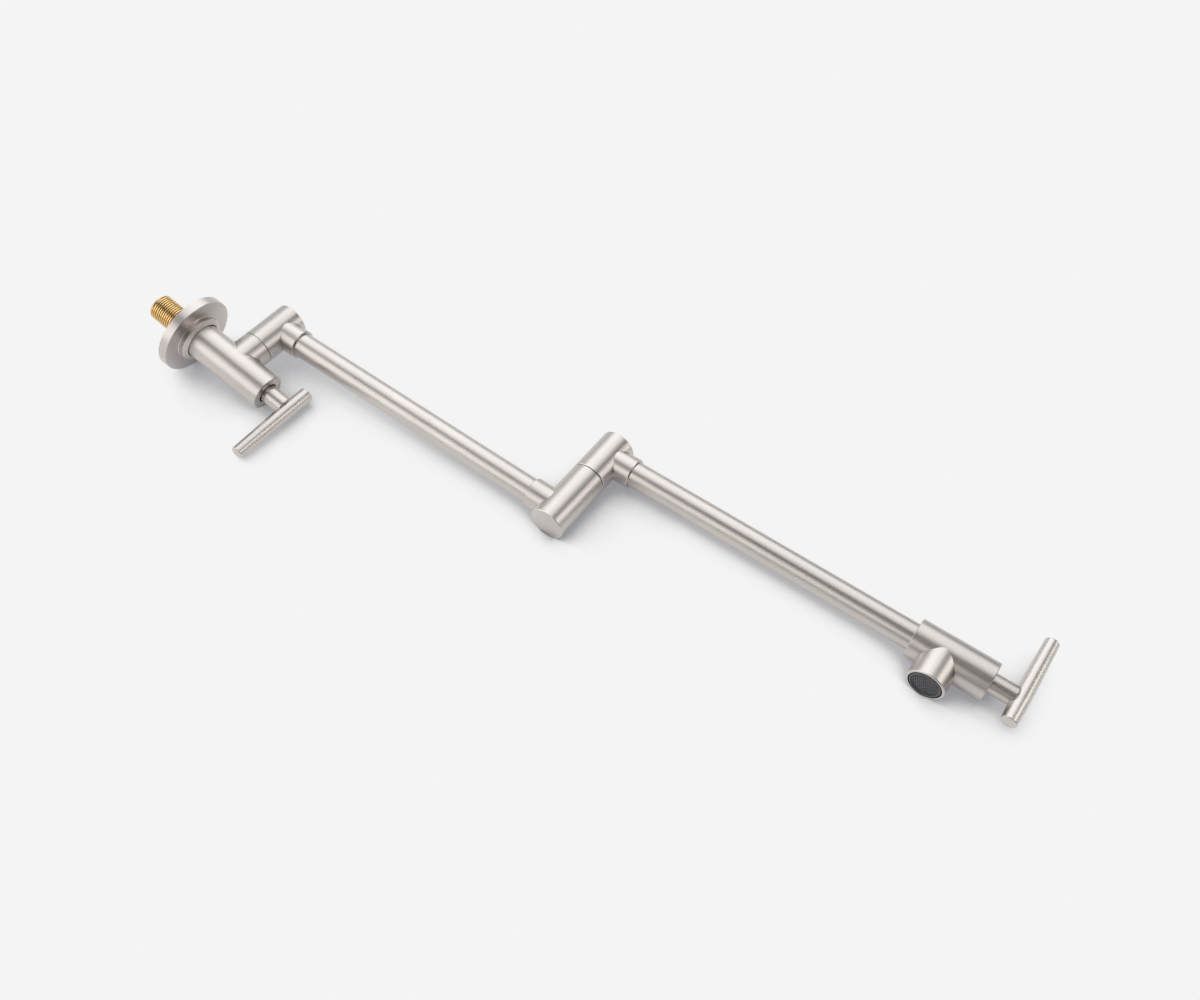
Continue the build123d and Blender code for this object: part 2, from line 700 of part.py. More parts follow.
def flange_gasket():
    """Gasket in the flange's back, flush with the wall."""
    middle = FLANGE_RADIUS - FLANGE_RIM / 2
    return pipe(middle + GASKET_WIDTH / 2, middle - GASKET_WIDTH / 2, wall, wall + GASKET_DEPTH)


def flange_o_ring():
    """O-ring that grips the valve body and holds the flange to the wall."""
    return o_ring(
        VALVE_RADIUS,
        flange_bore + FLANGE_RING_DEPTH,
        flange_ring_low,
        flange_ring_low + FLANGE_RING_WIDTH,
    )


# ---- Spout, on the spout valve's frame or hanging down from the second arm's axis -----------
aerator_low = -(NOZZLE_DROP - AERATOR_SUNK)
aerator_high = -(AERATOR_SEAT + AERATOR_WASHER)
aerator_neck = AERATOR_RADIUS - AERATOR_NECK
aerator_bore = aerator_neck - AERATOR_WALL
grid_low = aerator_low + AERATOR_LIP
grid_radius = aerator_bore - SNUG


def nozzle_outside():
    """Outside of the nozzle, from the arm's axis down to its rim."""
    top = -VALVE_RADIUS / 2
    return turned([
        (0, 0),
        (NOZZLE_TOP_RADIUS, 0),
        (NOZZLE_TOP_RADIUS, top),
        (NOZZLE_RADIUS, -NOZZLE_DROP + NOZZLE_EDGE),
        (NOZZLE_RADIUS - NOZZLE_EDGE, -NOZZLE_DROP),
        (0, -NOZZLE_DROP),
    ])


def spout_valve_body():
    """Valve body with the second arm's socket at one end and the nozzle below."""
    down = Rot(0, 90, 0)
    body = chamfered_ends(rod(VALVE_RADIUS, -SPOUT_TAIL, VALVE_FACE), VALVE_EDGE)
    body += down * nozzle_outside()
    seat = -SPOUT_TAIL + SPOUT_SOCKET_DEPTH
    body -= valve_cavity(seat)
    body -= rod(TUBE_RADIUS + SNUG, -SPOUT_TAIL, seat)
    body -= down * rod(NOZZLE_PASSAGE, -AERATOR_SEAT, 0)
    body -= down * rod(AERATOR_RADIUS + SNUG, -NOZZLE_DROP, -AERATOR_SEAT)
    body -= down * rod(AERATOR_RADIUS + MOUTH_RELIEF, -NOZZLE_DROP, -NOZZLE_DROP + MOUTH_DEPTH)
    return body


def aerator_washer():
    """Rubber washer on the nozzle's seat."""
    return pipe(AERATOR_RADIUS, NOZZLE_PASSAGE, aerator_high, -AERATOR_SEAT)


def aerator_housing():
    """Threaded housing with a lip under the grid."""
    neck_high = -NOZZLE_DROP + MOUTH_DEPTH
    return turned([
        (aerator_bore - AERATOR_LIP, aerator_low),
        (aerator_neck, aerator_low),
        (aerator_neck, neck_high),
        (AERATOR_RADIUS, neck_high),
        (AERATOR_RADIUS, aerator_high),
        (aerator_bore, aerator_high),
        (aerator_bore, grid_low),
        (aerator_bore - AERATOR_LIP, grid_low),
    ])


def aerator_jet_plate():
    """Upper plate with a ring of small jets."""
    plate = rod(grid_radius, aerator_high - JET_PLATE_THICKNESS, aerator_high)
    jet = rod(JET_HOLE_RADIUS, aerator_high - JET_PLATE_THICKNESS, aerator_high)
    for index in range(JET_HOLES):
        plate -= Rot(0, 0, 360 / JET_HOLES * index) * Pos(JET_CIRCLE * grid_radius, 0, 0) * jet
    return plate


def aerator_grid():
    """Lower grid of hexagonal cells."""
    cell = RegularPolygon((GRID_PITCH - GRID_RIB) / 2, 6, major_radius=False)
    reach = grid_radius - GRID_RIM - GRID_PITCH / 2
    rows = int(reach / GRID_PITCH) + 2
    face = Circle(grid_radius)
    for row in range(-rows, rows + 1):
        for column in range(-rows, rows + 1):
            x = GRID_PITCH * (column + row / 2)
            y = GRID_PITCH * row * cos(pi / 6)
            if Vector(x, y).length < reach:
                face -= Pos(x, y) * Rot(0, 0, 30) * cell
    return Pos(0, 0, grid_low) * extrude(face, GRID_THICKNESS)


# ---- Assembly --------------------------------------------------------------------------
nodes = {}


def add(name, location, *solids):
    """Keep a piece, or a group of like pieces, under its node's name."""
    placed = [location * solid for solid in solids]
    nodes[name] = placed[0] if len(placed) == 1 else Compound(children=placed)


def add_swivel(name, location):
    """The pieces of a swivel joint, except its lower half."""
    add(name + "_swivel_body", location, swivel_body())
    add(name + "_cap", location, swivel_cap())
    add(name + "_spindle", location, swivel_spindle())
    add(name + "_o_rings", location, *swivel_o_rings())
    add(name + "_thrust_washer", location, thrust_washer())
    add(name + "_slip_washer", location, slip_washer())
    add(name + "_retaining_nut", location, retaining_nut())


def add_cartridge(name, location):
    """The pieces of a quarter-turn valve inside its body."""
    add(name + "_cartridge_shell", location, cartridge_shell())
    add(name + "_cartridge_o_ring", location, cartridge_o_ring())
    add(name + "_seat_seal", location, seat_seal())
    add(name + "_fixed_disc", location, ceramic_disc(fixed_disc_low))
    add(name + "_turning_disc", location, turning_disc())
    add(name + "_stem", location, stem())
    add(name + "_stem_o_rings", location, *stem_o_rings())
    add(name + "_stem_clip", location, stem_clip())
    add(name + "_bonnet_ring", location, bonnet_ring())


def add_handle(name, location, side):
    """The three pieces of a handle, with its set screw on one side."""
    add(name + "_handle_hub", location, handle_hub(side))
    add(name + "_handle_bar", location, handle_bar())
    add(name + "_handle_set_screw", location, handle_set_screw(side))


add("inlet_nipple", at_inlet_valve, inlet_nipple())
add("wall_flange", at_inlet_valve, wall_flange())
add("flange_gasket", at_inlet_valve, flange_gasket())
add("flange_o_ring", at_inlet_valve, flange_o_ring())
add("inlet_valve_body", at_inlet_valve, inlet_valve_body())
add_cartridge("inlet", at_inlet_valve)
add_handle("inlet", at_inlet_valve * Rot(0, 0, 180), 1)

add_swivel("shoulder", at_shoulder_joint)
add("first_arm_tube", at_first_arm, arm_tube(first_arm_span))
add("first_arm_gaskets", at_first_arm, *arm_gaskets(first_arm_span))
add("elbow_lower_body", at_elbow_foot, elbow_lower_body())
add_swivel("elbow", at_elbow_joint)
add("second_arm_tube", at_second_arm, arm_tube(second_arm_span))
add("second_arm_gaskets", at_second_arm, *arm_gaskets(second_arm_span))

add("spout_valve_body", at_spout_valve, spout_valve_body())
add_cartridge("spout", at_spout_valve)
add_handle("spout", at_spout_valve, -1)
add("aerator_washer", at_nozzle, aerator_washer())
add("aerator_housing", at_nozzle, aerator_housing())
add("aerator_jet_plate", at_nozzle, aerator_jet_plate())
add("aerator_grid", at_nozzle, aerator_grid())

os.makedirs("parts", exist_ok=True)
for name, shape in nodes.items():
    export_step(shape, "parts/" + name + ".step")
print(len(nodes), "nodes written")
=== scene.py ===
"""Wall mounted pot filler, dressed and lit for a studio picture.

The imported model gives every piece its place, in metres, with +X out of the wall and +Z up.
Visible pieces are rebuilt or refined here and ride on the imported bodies; hidden pieces keep
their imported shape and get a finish.
"""

from __future__ import annotations

import json
import logging
import math
from collections import Counter
from dataclasses import dataclass
from enum import Enum
from typing import ClassVar, Sequence

import bpy
import numpy as np
from mathutils import Matrix, Vector

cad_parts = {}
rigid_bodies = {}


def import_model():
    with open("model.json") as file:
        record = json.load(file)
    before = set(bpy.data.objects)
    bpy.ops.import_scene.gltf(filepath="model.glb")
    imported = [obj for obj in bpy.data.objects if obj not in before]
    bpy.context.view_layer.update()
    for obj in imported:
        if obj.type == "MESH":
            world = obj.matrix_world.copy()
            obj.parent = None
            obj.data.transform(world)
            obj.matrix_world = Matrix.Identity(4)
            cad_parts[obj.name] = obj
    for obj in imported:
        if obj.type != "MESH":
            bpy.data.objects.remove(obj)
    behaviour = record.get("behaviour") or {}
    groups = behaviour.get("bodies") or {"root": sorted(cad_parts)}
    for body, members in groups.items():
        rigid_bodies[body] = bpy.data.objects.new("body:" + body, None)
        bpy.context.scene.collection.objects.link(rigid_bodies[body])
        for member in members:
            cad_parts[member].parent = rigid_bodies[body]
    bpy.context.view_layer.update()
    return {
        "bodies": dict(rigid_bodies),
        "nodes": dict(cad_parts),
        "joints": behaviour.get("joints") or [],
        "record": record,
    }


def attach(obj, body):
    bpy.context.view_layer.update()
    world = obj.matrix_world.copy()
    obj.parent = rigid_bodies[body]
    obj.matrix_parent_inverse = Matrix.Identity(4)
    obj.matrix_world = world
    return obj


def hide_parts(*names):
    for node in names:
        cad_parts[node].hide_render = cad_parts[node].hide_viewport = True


log = logging.getLogger("pot_filler")

GRAIN_AXIS = "grain_axis"
GRAIN_ORIGIN = "grain_origin"
UP = Vector((0.0, 0.0, 1.0))
DOUBLES = 1e-6                      # corners nearer than this are one corner
SEED_SIZE = 0.001                   # of the plane that shrinks to an outline's first corner
FINE_DETAIL = 3.0                   # layers of a fine noise
SOFT_DETAIL = 2.0                   # the same of a soft one
NOISE_MIDDLE = (0.25, 0.75)         # range that most of a noise's values are in
TABLE_NORMAL = (-0.23, -0.973, 0.0)

Triple = tuple[float, float, float]
Socket = bpy.types.NodeSocket


# ---- Lines and places ----
@dataclass(frozen=True)
class Line:
    """A straight line that a turned surface is turned about."""

    origin: Triple
    direction: Triple

    def at(self, distance: float) -> Vector:
        """Point on the line at a distance from its origin."""
        return Vector(self.origin) + Vector(self.direction) * distance

    def frame(self) -> Matrix:
        """Matrix that takes local +Z to the line's direction and the origin to its origin."""
        turn = Vector(self.direction).to_track_quat("Z", "Y").to_matrix().to_4x4()
        return Matrix.Translation(self.origin) @ turn


def level(degrees: float) -> Triple:
    """Level unit vector at an angle to +X."""
    angle = math.radians(degrees)
    return math.cos(angle), math.sin(angle), 0.0


@dataclass(frozen=True)
class Layout:
    """The lines of the tap at rest, from the sizes that place its joints."""

    wall_to_shoulder: float = 0.0463
    arm_length: float = 0.280
    first_arm_angle: float = -11.3
    second_arm_angle: float = -13.55
    first_arm_height: float = 0.049
    second_arm_height: float = 0.1091
    bar_distance: float = 0.0565

    def _elbow(self) -> Vector:
        """Point under the elbow, at the height of the inlet."""
        start = Vector((self.wall_to_shoulder, 0.0, 0.0))
        return start + Vector(level(self.first_arm_angle)) * self.arm_length

    def _nozzle(self) -> Vector:
        """Point under the nozzle, at the height of the inlet."""
        return self._elbow() + Vector(level(self.second_arm_angle)) * self.arm_length

    @property
    def inlet(self) -> Line:
        """Axis of the inlet, the flange and the wall valve."""
        return Line((0.0, 0.0, 0.0), (1.0, 0.0, 0.0))

    @property
    def shoulder(self) -> Line:
        """Axis of the shoulder swivel."""
        return Line((self.wall_to_shoulder, 0.0, 0.0), tuple(UP))

    @property
    def first_arm(self) -> Line:
        """Axis of the first arm's tube."""
        start = (self.wall_to_shoulder, 0.0, self.first_arm_height)
        return Line(start, level(self.first_arm_angle))

    @property
    def elbow(self) -> Line:
        """Axis of the elbow swivel."""
        return Line(tuple(self._elbow()), tuple(UP))

    @property
    def second_arm(self) -> Line:
        """Axis of the second arm's tube and the spout valve."""
        start = self._elbow() + UP * self.second_arm_height
        return Line(tuple(start), level(self.second_arm_angle))

    @property
    def nozzle(self) -> Line:
        """Axis of the nozzle and the aerator."""
        return Line(tuple(self._nozzle()), tuple(UP))

    @property
    def wall_bar(self) -> Line:
        """Axis of the wall handle's bar."""
        return Line((self.wall_to_shoulder + self.bar_distance, 0.0, 0.0), tuple(UP))

    @property
    def spout_bar(self) -> Line:
        """Axis of the spout handle's bar."""
        start = self._nozzle() + Vector(level(self.second_arm_angle)) * self.bar_distance
        return Line(tuple(start + UP * self.second_arm_height), tuple(UP))


LAYOUT = Layout()


# ---- Materials ----
class Tree:
    """A material's node tree, with short calls to add and join nodes."""

    def __init__(self, name: str) -> None:
        """Start an empty tree.

        Args:
            name: the material's name.
        """
        self.material = bpy.data.materials.new(name)
        self._clear(self.material, "ShaderNodeOutputMaterial")
        self.shader = self.nodes.new("ShaderNodeBsdfPrincipled")
        self.join(self.shader.outputs["BSDF"], self.output.inputs["Surface"])

    @classmethod
    def of_world(cls, world: bpy.types.World) -> Tree:
        """Start the tree of a world.

        Args:
            world: the world.

        Returns:
            The tree, with no shader.
        """
        tree = cls.__new__(cls)
        tree._clear(world, "ShaderNodeOutputWorld")
        return tree

    def _clear(self, owner: bpy.types.ID, output: str) -> None:
        """Empty a tree but for its output.

        Args:
            owner: the material or the world.
            output: the kind of its output node.
        """
        owner.use_nodes = True
        self.tree = owner.node_tree
        self.nodes = self.tree.nodes
        self.nodes.clear()
        self.output = self.nodes.new(output)

    def join(self, source: Socket, target: Socket) -> None:
        """Link an output to an input."""
        self.tree.links.new(source, target)

    def feed(self, target: Socket, value: object) -> None:
        """Give an input a constant, or link it to an output.

        Args:
            target: the input.
            value: a number, a tuple or an output socket.
        """
        if isinstance(value, Socket):
            self.join(value, target)
        else:
            target.default_value = value

    def math(self, operation: str, *values: object) -> Socket:
        """Scalar arithmetic.

        Args:
            operation: name of the Math node's operation.
            *values: its inputs, as numbers or outputs.

        Returns:
            The node's output.
        """
        node = self.nodes.new("ShaderNodeMath")
        node.operation = operation
        for target, value in zip(node.inputs, values):
            self.feed(target, value)
        return node.outputs["Value"]

    def vector(self, operation: str, *values: object) -> Socket:
        """Vector arithmetic.

        Args:
            operation: name of the Vector Math node's operation.
            *values: its inputs, as tuples, numbers or outputs.

        Returns:
            The node's vector output, or its value for a length or a dot product.
        """
        node = self.nodes.new("ShaderNodeVectorMath")
        node.operation = operation
        if operation == "SCALE":
            self.feed(node.inputs["Vector"], values[0])
            self.feed(node.inputs["Scale"], values[1])
        else:
            for target, value in zip(node.inputs, values):
                self.feed(target, value)
        scalar = operation in ("LENGTH", "DOT_PRODUCT")
        return node.outputs["Value" if scalar else "Vector"]

    def noise(self, place: Socket, scale: float, detail: float) -> Socket:
        """Read a noise at a place.

        Args:
            place: the vector that it is read at.
            scale: its periods per unit of that vector.
            detail: how many layers it has.

        Returns:
            A number between 0 and 1.
        """
        node = self.nodes.new("ShaderNodeTexNoise")
        node.inputs["Scale"].default_value = scale
        node.inputs["Detail"].default_value = detail
        self.join(place, node.inputs["Vector"])
        return node.outputs["Fac"]

    def spread(self, value: Socket, low: float, high: float) -> Socket:
        """Stretch the middle of a noise over a range of numbers.

        Args:
            value: the noise.
            low: result at the lower end of its middle.
            high: result at the upper end.

        Returns:
            The result.
        """
        node = self.nodes.new("ShaderNodeMapRange")
        node.inputs["From Min"].default_value = NOISE_MIDDLE[0]
        node.inputs["From Max"].default_value = NOISE_MIDDLE[1]
        node.inputs["To Min"].default_value = low
        node.inputs["To Max"].default_value = high
        self.join(value, node.inputs["Value"])
        return node.outputs["Result"]

    def blend(
        self, amount: object, first: object, second: object, vectors: bool = False
    ) -> Socket:
        """Mix two colours or two vectors.

        Args:
            amount: share of the second, as a number or an output.
            first: colour or vector at 0.
            second: colour or vector at 1.
            vectors: True for vectors.

        Returns:
            The mixed output.
        """
        node = self.nodes.new("ShaderNodeMix")
        node.data_type = "VECTOR" if vectors else "RGBA"
        sockets = [socket for socket in node.inputs if socket.enabled]
        for socket, value in zip(sockets, (amount, first, second)):
            self.feed(socket, value)
        return next(socket for socket in node.outputs if socket.enabled)

    def ramp(self, value: Socket, low: float, high: float) -> Socket:
        """Rise smoothly from 0 to 1.

        Args:
            value: what the rise follows.
            low: value where it starts.
            high: value where it ends.

        Returns:
            A number between 0 and 1.
        """
        node = self.nodes.new("ShaderNodeMapRange")
        node.interpolation_type = "SMOOTHSTEP"
        node.inputs["From Min"].default_value = low
        node.inputs["From Max"].default_value = high
        self.join(value, node.inputs["Value"])
        return node.outputs["Result"]

    def choose(self, amount: Socket, first: bpy.types.Node, second: bpy.types.Node) -> Socket:
        """Mix two shaders.

        Args:
            amount: share of the second.
            first: shader node at 0.
            second: shader node at 1.

        Returns:
            The mixed shader.
        """
        node = self.nodes.new("ShaderNodeMixShader")
        self.join(amount, node.inputs[0])
        self.join(first.outputs[0], node.inputs[1])
        self.join(second.outputs[0], node.inputs[2])
        return node.outputs["Shader"]

    def tint(self, colour: Triple, amount: Socket) -> None:
        """Colour the surface by a constant that a number near 1 scales."""
        scaled = self.vector("SCALE", colour, amount)
        self.join(scaled, self.shader.inputs["Base Color"])

    def relief(self, height: Socket, depth: float, strength: float) -> None:
        """Bump the surface.

        Args:
            height: relief between 0 and 1.
            depth: height of the relief in metres.
            strength: share of the bump that shows.
        """
        bump = self.nodes.new("ShaderNodeBump")
        bump.inputs["Strength"].default_value = strength
        bump.inputs["Distance"].default_value = depth
        self.join(height, bump.inputs["Height"])
        self.join(bump.outputs["Normal"], self.shader.inputs["Normal"])

    def looked_at(self) -> Socket:
        """Tell what the camera sees, by itself or in a mirroring or clear surface.

        Returns:
            1 for its rays, and else 0.
        """
        path = self.nodes.new("ShaderNodeLightPath")
        glossy, clear = path.outputs["Is Glossy Ray"], path.outputs["Is Transmission Ray"]
        mirrored = self.math("MAXIMUM", glossy, clear)
        return self.math("MAXIMUM", path.outputs["Is Camera Ray"], mirrored)

    def place(self) -> Socket:
        """Position on the piece, in the tap's frame at rest."""
        return self.nodes.new("ShaderNodeTexCoord").outputs["Object"]

    def attribute(self, name: str) -> Socket:
        """Read a vector attribute of the piece's faces.

        Args:
            name: the attribute's name.

        Returns:
            The vector.
        """
        node = self.nodes.new("ShaderNodeAttribute")
        node.attribute_name = name
        return node.outputs["Vector"]


@dataclass(frozen=True)
class BrushedMetal:
    """Metal with fine brush lines along turned surfaces and round flat ends."""

    name: str
    colour: Triple
    roughness: float = 0.33
    roughness_spread: float = 0.035
    anisotropy: float = 0.6
    line_scale: float = 2600.0      # lines per metre across the brushing
    line_stretch: float = 0.012     # their frequency along the brushing, as a share
    round_stretch: float = 9.0      # the same for rings, in periods per radian
    line_depth: float = 0.0000006
    streak_scale: float = 0.22      # frequency of streaks, as a share of the lines'
    cloud_scale: float = 28.0       # soft spots per metre
    shade: float = 0.03             # difference in tone between lines
    flat_cosine: float = 0.9        # faces that point along the axis more than this have rings

    def material(self) -> bpy.types.Material:
        """Build the material.

        Returns:
            The material, which reads the piece's grain attributes.
        """
        tree = Tree(self.name)
        shader = tree.shader
        coordinates = tree.nodes.new("ShaderNodeTexCoord")
        axis = tree.attribute(GRAIN_AXIS)
        place = coordinates.outputs["Object"]
        offset = tree.vector("SUBTRACT", place, tree.attribute(GRAIN_ORIGIN))
        height = tree.vector("DOT_PRODUCT", offset, axis)
        outward = tree.vector("SUBTRACT", offset, tree.vector("SCALE", axis, height))
        radius = tree.vector("LENGTH", outward)
        ray = tree.vector("NORMALIZE", outward)
        facing = tree.vector("DOT_PRODUCT", coordinates.outputs["Normal"], axis)
        flat = tree.math("GREATER_THAN", tree.math("ABSOLUTE", facing), self.flat_cosine)

        along = tree.vector("SCALE", axis, tree.math("MULTIPLY", height, self.line_stretch))
        lengthwise = tree.vector("SCALE", tree.vector("ADD", outward, along), self.line_scale)
        rings = tree.vector(
            "ADD",
            tree.vector("SCALE", axis, tree.math("MULTIPLY", radius, self.line_scale)),
            tree.vector("SCALE", ray, self.round_stretch),
        )
        grain = tree.blend(flat, lengthwise, rings, vectors=True)
        lines = tree.noise(grain, 1.0, FINE_DETAIL)
        streaks = tree.noise(grain, self.streak_scale, SOFT_DETAIL)
        cloud = tree.noise(place, self.cloud_scale, SOFT_DETAIL)

        tree.tint(self.colour, tree.math(
            "ADD",
            tree.spread(lines, 1.0 - self.shade, 1.0 + self.shade),
            tree.math(
                "ADD",
                tree.spread(streaks, -self.shade, self.shade),
                tree.spread(cloud, -self.shade, self.shade),
            ),
        ))
        rough = tree.spread(
            streaks, self.roughness - self.roughness_spread, self.roughness + self.roughness_spread
        )
        tree.join(rough, shader.inputs["Roughness"])
        shader.inputs["Metallic"].default_value = 1.0
        shader.inputs["Anisotropic"].default_value = self.anisotropy
        tangent = tree.blend(flat, tree.vector("CROSS_PRODUCT", axis, ray), ray, vectors=True)
        turn = tree.nodes.new("ShaderNodeVectorTransform")
        turn.vector_type = "VECTOR"
        turn.convert_from = "OBJECT"
        turn.convert_to = "WORLD"
        tree.join(tangent, turn.inputs["Vector"])
        tree.join(turn.outputs["Vector"], shader.inputs["Tangent"])
        tree.relief(lines, self.line_depth, 1.0)
        return tree.material


@dataclass(frozen=True)
class PlainFinish:
    """A moulded, machined or lapped surface with fine grain and soft mottling."""

    name: str
    colour: Triple
    roughness: float
    metallic: float = 0.0
    roughness_spread: float = 0.12  # as a share of the roughness
    grain_scale: float = 1500.0
    grain_depth: float = 0.00001
    grain_strength: float = 0.3
    cloud_scale: float = 60.0
    shade: float = 0.08

    def material(self) -> bpy.types.Material:
        """Build the material.

        Returns:
            The material.
        """
        tree = Tree(self.name)
        place = tree.place()
        grain = tree.noise(place, self.grain_scale, FINE_DETAIL)
        cloud = tree.noise(place, self.cloud_scale, SOFT_DETAIL)
        tone = tree.math(
            "ADD",
            tree.spread(grain, 1.0 - self.shade, 1.0 + self.shade),
            tree.spread(cloud, -self.shade / 2, self.shade / 2),
        )
        # the tone takes a finish's painted shade here, if it has any
        tree.tint(self.colour, self.painted_shade(tree, place, tone))
        spread = self.roughness * self.roughness_spread
        rough = tree.spread(grain, self.roughness - spread, self.roughness + spread)
        tree.join(rough, tree.shader.inputs["Roughness"])
        tree.shader.inputs["Metallic"].default_value = self.metallic
        tree.relief(grain, self.grain_depth, self.grain_strength)
        return tree.material

    def painted_shade(self, tree: Tree, place: Socket, tone: Socket) -> Socket:
        """Tone with painted shade added; none on a plain finish."""
        return tone


@dataclass(frozen=True)
class ThreadedBrass(PlainFinish):
    """Machined brass with painted shade that darkens the bottom of its thread's groove."""

    root: float = 0.0094            # radius about the inlet's axis where the painted shade is deepest
    crest: float = 0.0104           # the same where the painted shade ends
    # share of the tone that the painted shade takes away at the groove's bottom
    painted_groove_shade: float = 0.5

    def painted_shade(self, tree: Tree, place: Socket, tone: Socket) -> Socket:
        """Paint shade into the tone, darker towards the bottom of the groove.

        Args:
            tree: the material's tree.
            place: position on the piece.
            tone: the tone of plain brass.

        Returns:
            The changed tone.
        """
        radius = tree.vector("LENGTH", tree.vector("MULTIPLY", place, (0.0, 1.0, 1.0)))
        unshaded = tree.ramp(radius, self.root, self.crest)
        kept = tree.math("MULTIPLY_ADD", unshaded, self.painted_groove_shade, 1.0 - self.painted_groove_shade)
        return tree.math("MULTIPLY", tone, kept)


class Finish(Enum):
    """The finishes of the tap, by the material slot that each one dresses."""

    BRUSHED_NICKEL = "brushed_nickel"
    BRASS = "brass"
    STAINLESS = "stainless"
    RUBBER = "rubber"
    CERAMIC = "ceramic"
    BLACK_ACETAL = "black_acetal"
    GREY_PLASTIC = "grey_plastic"


RECIPES = {
    Finish.BRUSHED_NICKEL: BrushedMetal("Brushed nickel", (0.615, 0.572, 0.542)),
    Finish.BRASS: ThreadedBrass("Machined brass", (0.86, 0.62, 0.31), 0.30, metallic=1.0),
    Finish.STAINLESS: PlainFinish("Bright stainless steel", (0.55, 0.55, 0.56), 0.22, metallic=1.0),
    Finish.RUBBER: PlainFinish("Black rubber", (0.022, 0.022, 0.023), 0.62, shade=0.2),
    Finish.CERAMIC: PlainFinish("Lapped ceramic", (0.80, 0.79, 0.75), 0.32, shade=0.03),
    Finish.BLACK_ACETAL: PlainFinish("Black acetal", (0.016, 0.016, 0.017), 0.42, shade=0.2),
    Finish.GREY_PLASTIC: PlainFinish("Dark grey plastic", (0.15, 0.152, 0.16), 0.34, shade=0.15),
}


class Wardrobe:
    """Makes each finish's material once and puts it on pieces."""

    def __init__(self) -> None:
        """Start with no material made."""
        self.made: dict[Finish, bpy.types.Material] = {}

    def dress(self, piece: bpy.types.Object, finish: Finish) -> None:
        """Give a piece its finish.

        Args:
            piece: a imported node's object or a new piece.
            finish: what it is made of.
        """
        if finish not in self.made:
            self.made[finish] = RECIPES[finish].material()
        piece.data.materials.clear()
        piece.data.materials.append(self.made[finish])


# ---- Mesh tools ----
def deselect() -> None:
    """Leave nothing selected."""
    bpy.ops.object.select_all(action="DESELECT")


def take(piece: bpy.types.Object) -> None:
    """Make a piece the only selected and the active object.

    Args:
        piece: the piece.
    """
    deselect()
    piece.select_set(True)
    bpy.context.view_layer.objects.active = piece


def remove(piece: bpy.types.Object) -> None:
    """Throw a working piece away."""
    bpy.data.objects.remove(piece, do_unlink=True)


def apply_all(piece: bpy.types.Object) -> None:
    """Apply a piece's modifiers in their order.

    Args:
        piece: the piece.
    """
    take(piece)
    for modifier in list(piece.modifiers):
        bpy.ops.object.modifier_apply(modifier=modifier.name)


def mend(piece: bpy.types.Object, distance: float = DOUBLES) -> None:
    """Merge a piece's doubles and turn its faces outwards.

    Args:
        piece: a mesh.
        distance: doubles are nearer than this.
    """
    take(piece)
    bpy.ops.object.mode_set(mode="EDIT")
    bpy.ops.mesh.select_all(action="SELECT")
    bpy.ops.mesh.remove_doubles(threshold=distance)
    bpy.ops.mesh.normals_make_consistent(inside=False)
    bpy.ops.object.mode_set(mode="OBJECT")


def outline(name: str, points: Sequence[tuple[float, float]]) -> bpy.types.Object:
    """Draw a closed outline in the plane of local X and Z.

    Args:
        name: the piece's name.
        points: its corners, as (radius, height).

    Returns:
        The outline, with no face.
    """
    deselect()
    (radius, height), *rest = points
    bpy.ops.mesh.primitive_plane_add(size=SEED_SIZE, location=(0.0, 0.0, 0.0))
    piece = bpy.context.active_object
    piece.name = name
    piece.data.name = name
    bpy.ops.object.mode_set(mode="EDIT")
    bpy.ops.mesh.select_all(action="SELECT")
    bpy.ops.mesh.merge(type="CENTER")
    bpy.ops.transform.translate(value=(radius, 0.0, height))
    for following_radius, following_height in rest:
        step = (following_radius - radius, 0.0, following_height - height)
        bpy.ops.mesh.extrude_vertices_move(TRANSFORM_OT_translate={"value": step})
        radius, height = following_radius, following_height
    bpy.ops.object.mode_set(mode="OBJECT")
    uses = Counter(end for edge in piece.data.edges for end in edge.vertices)
    for vertex in piece.data.vertices:
        vertex.select = uses[vertex.index] == 1
    bpy.ops.object.mode_set(mode="EDIT")
    bpy.ops.mesh.edge_face_add()
    bpy.ops.object.mode_set(mode="OBJECT")
    return piece


def turned(
    name: str, points: Sequence[tuple[float, float]], line: Line, steps: int = 144
) -> bpy.types.Object:
    """Turn a closed outline about a line.

    Args:
        name: the piece's name.
        points: the outline's corners, as (radius, height along the line).
        line: the axis.
        steps: facets round the turn.

    Returns:
        The ring.
    """
    piece = outline(name, points)
    take(piece)
    bpy.ops.object.mode_set(mode="EDIT")
    bpy.ops.mesh.select_all(action="SELECT")
    bpy.ops.mesh.spin(
        steps=steps, angle=2 * math.pi, center=(0.0, 0.0, 0.0), axis=(0.0, 0.0, 1.0)
    )
    bpy.ops.object.mode_set(mode="OBJECT")
    mend(piece)
    piece.data.transform(line.frame())
    return piece


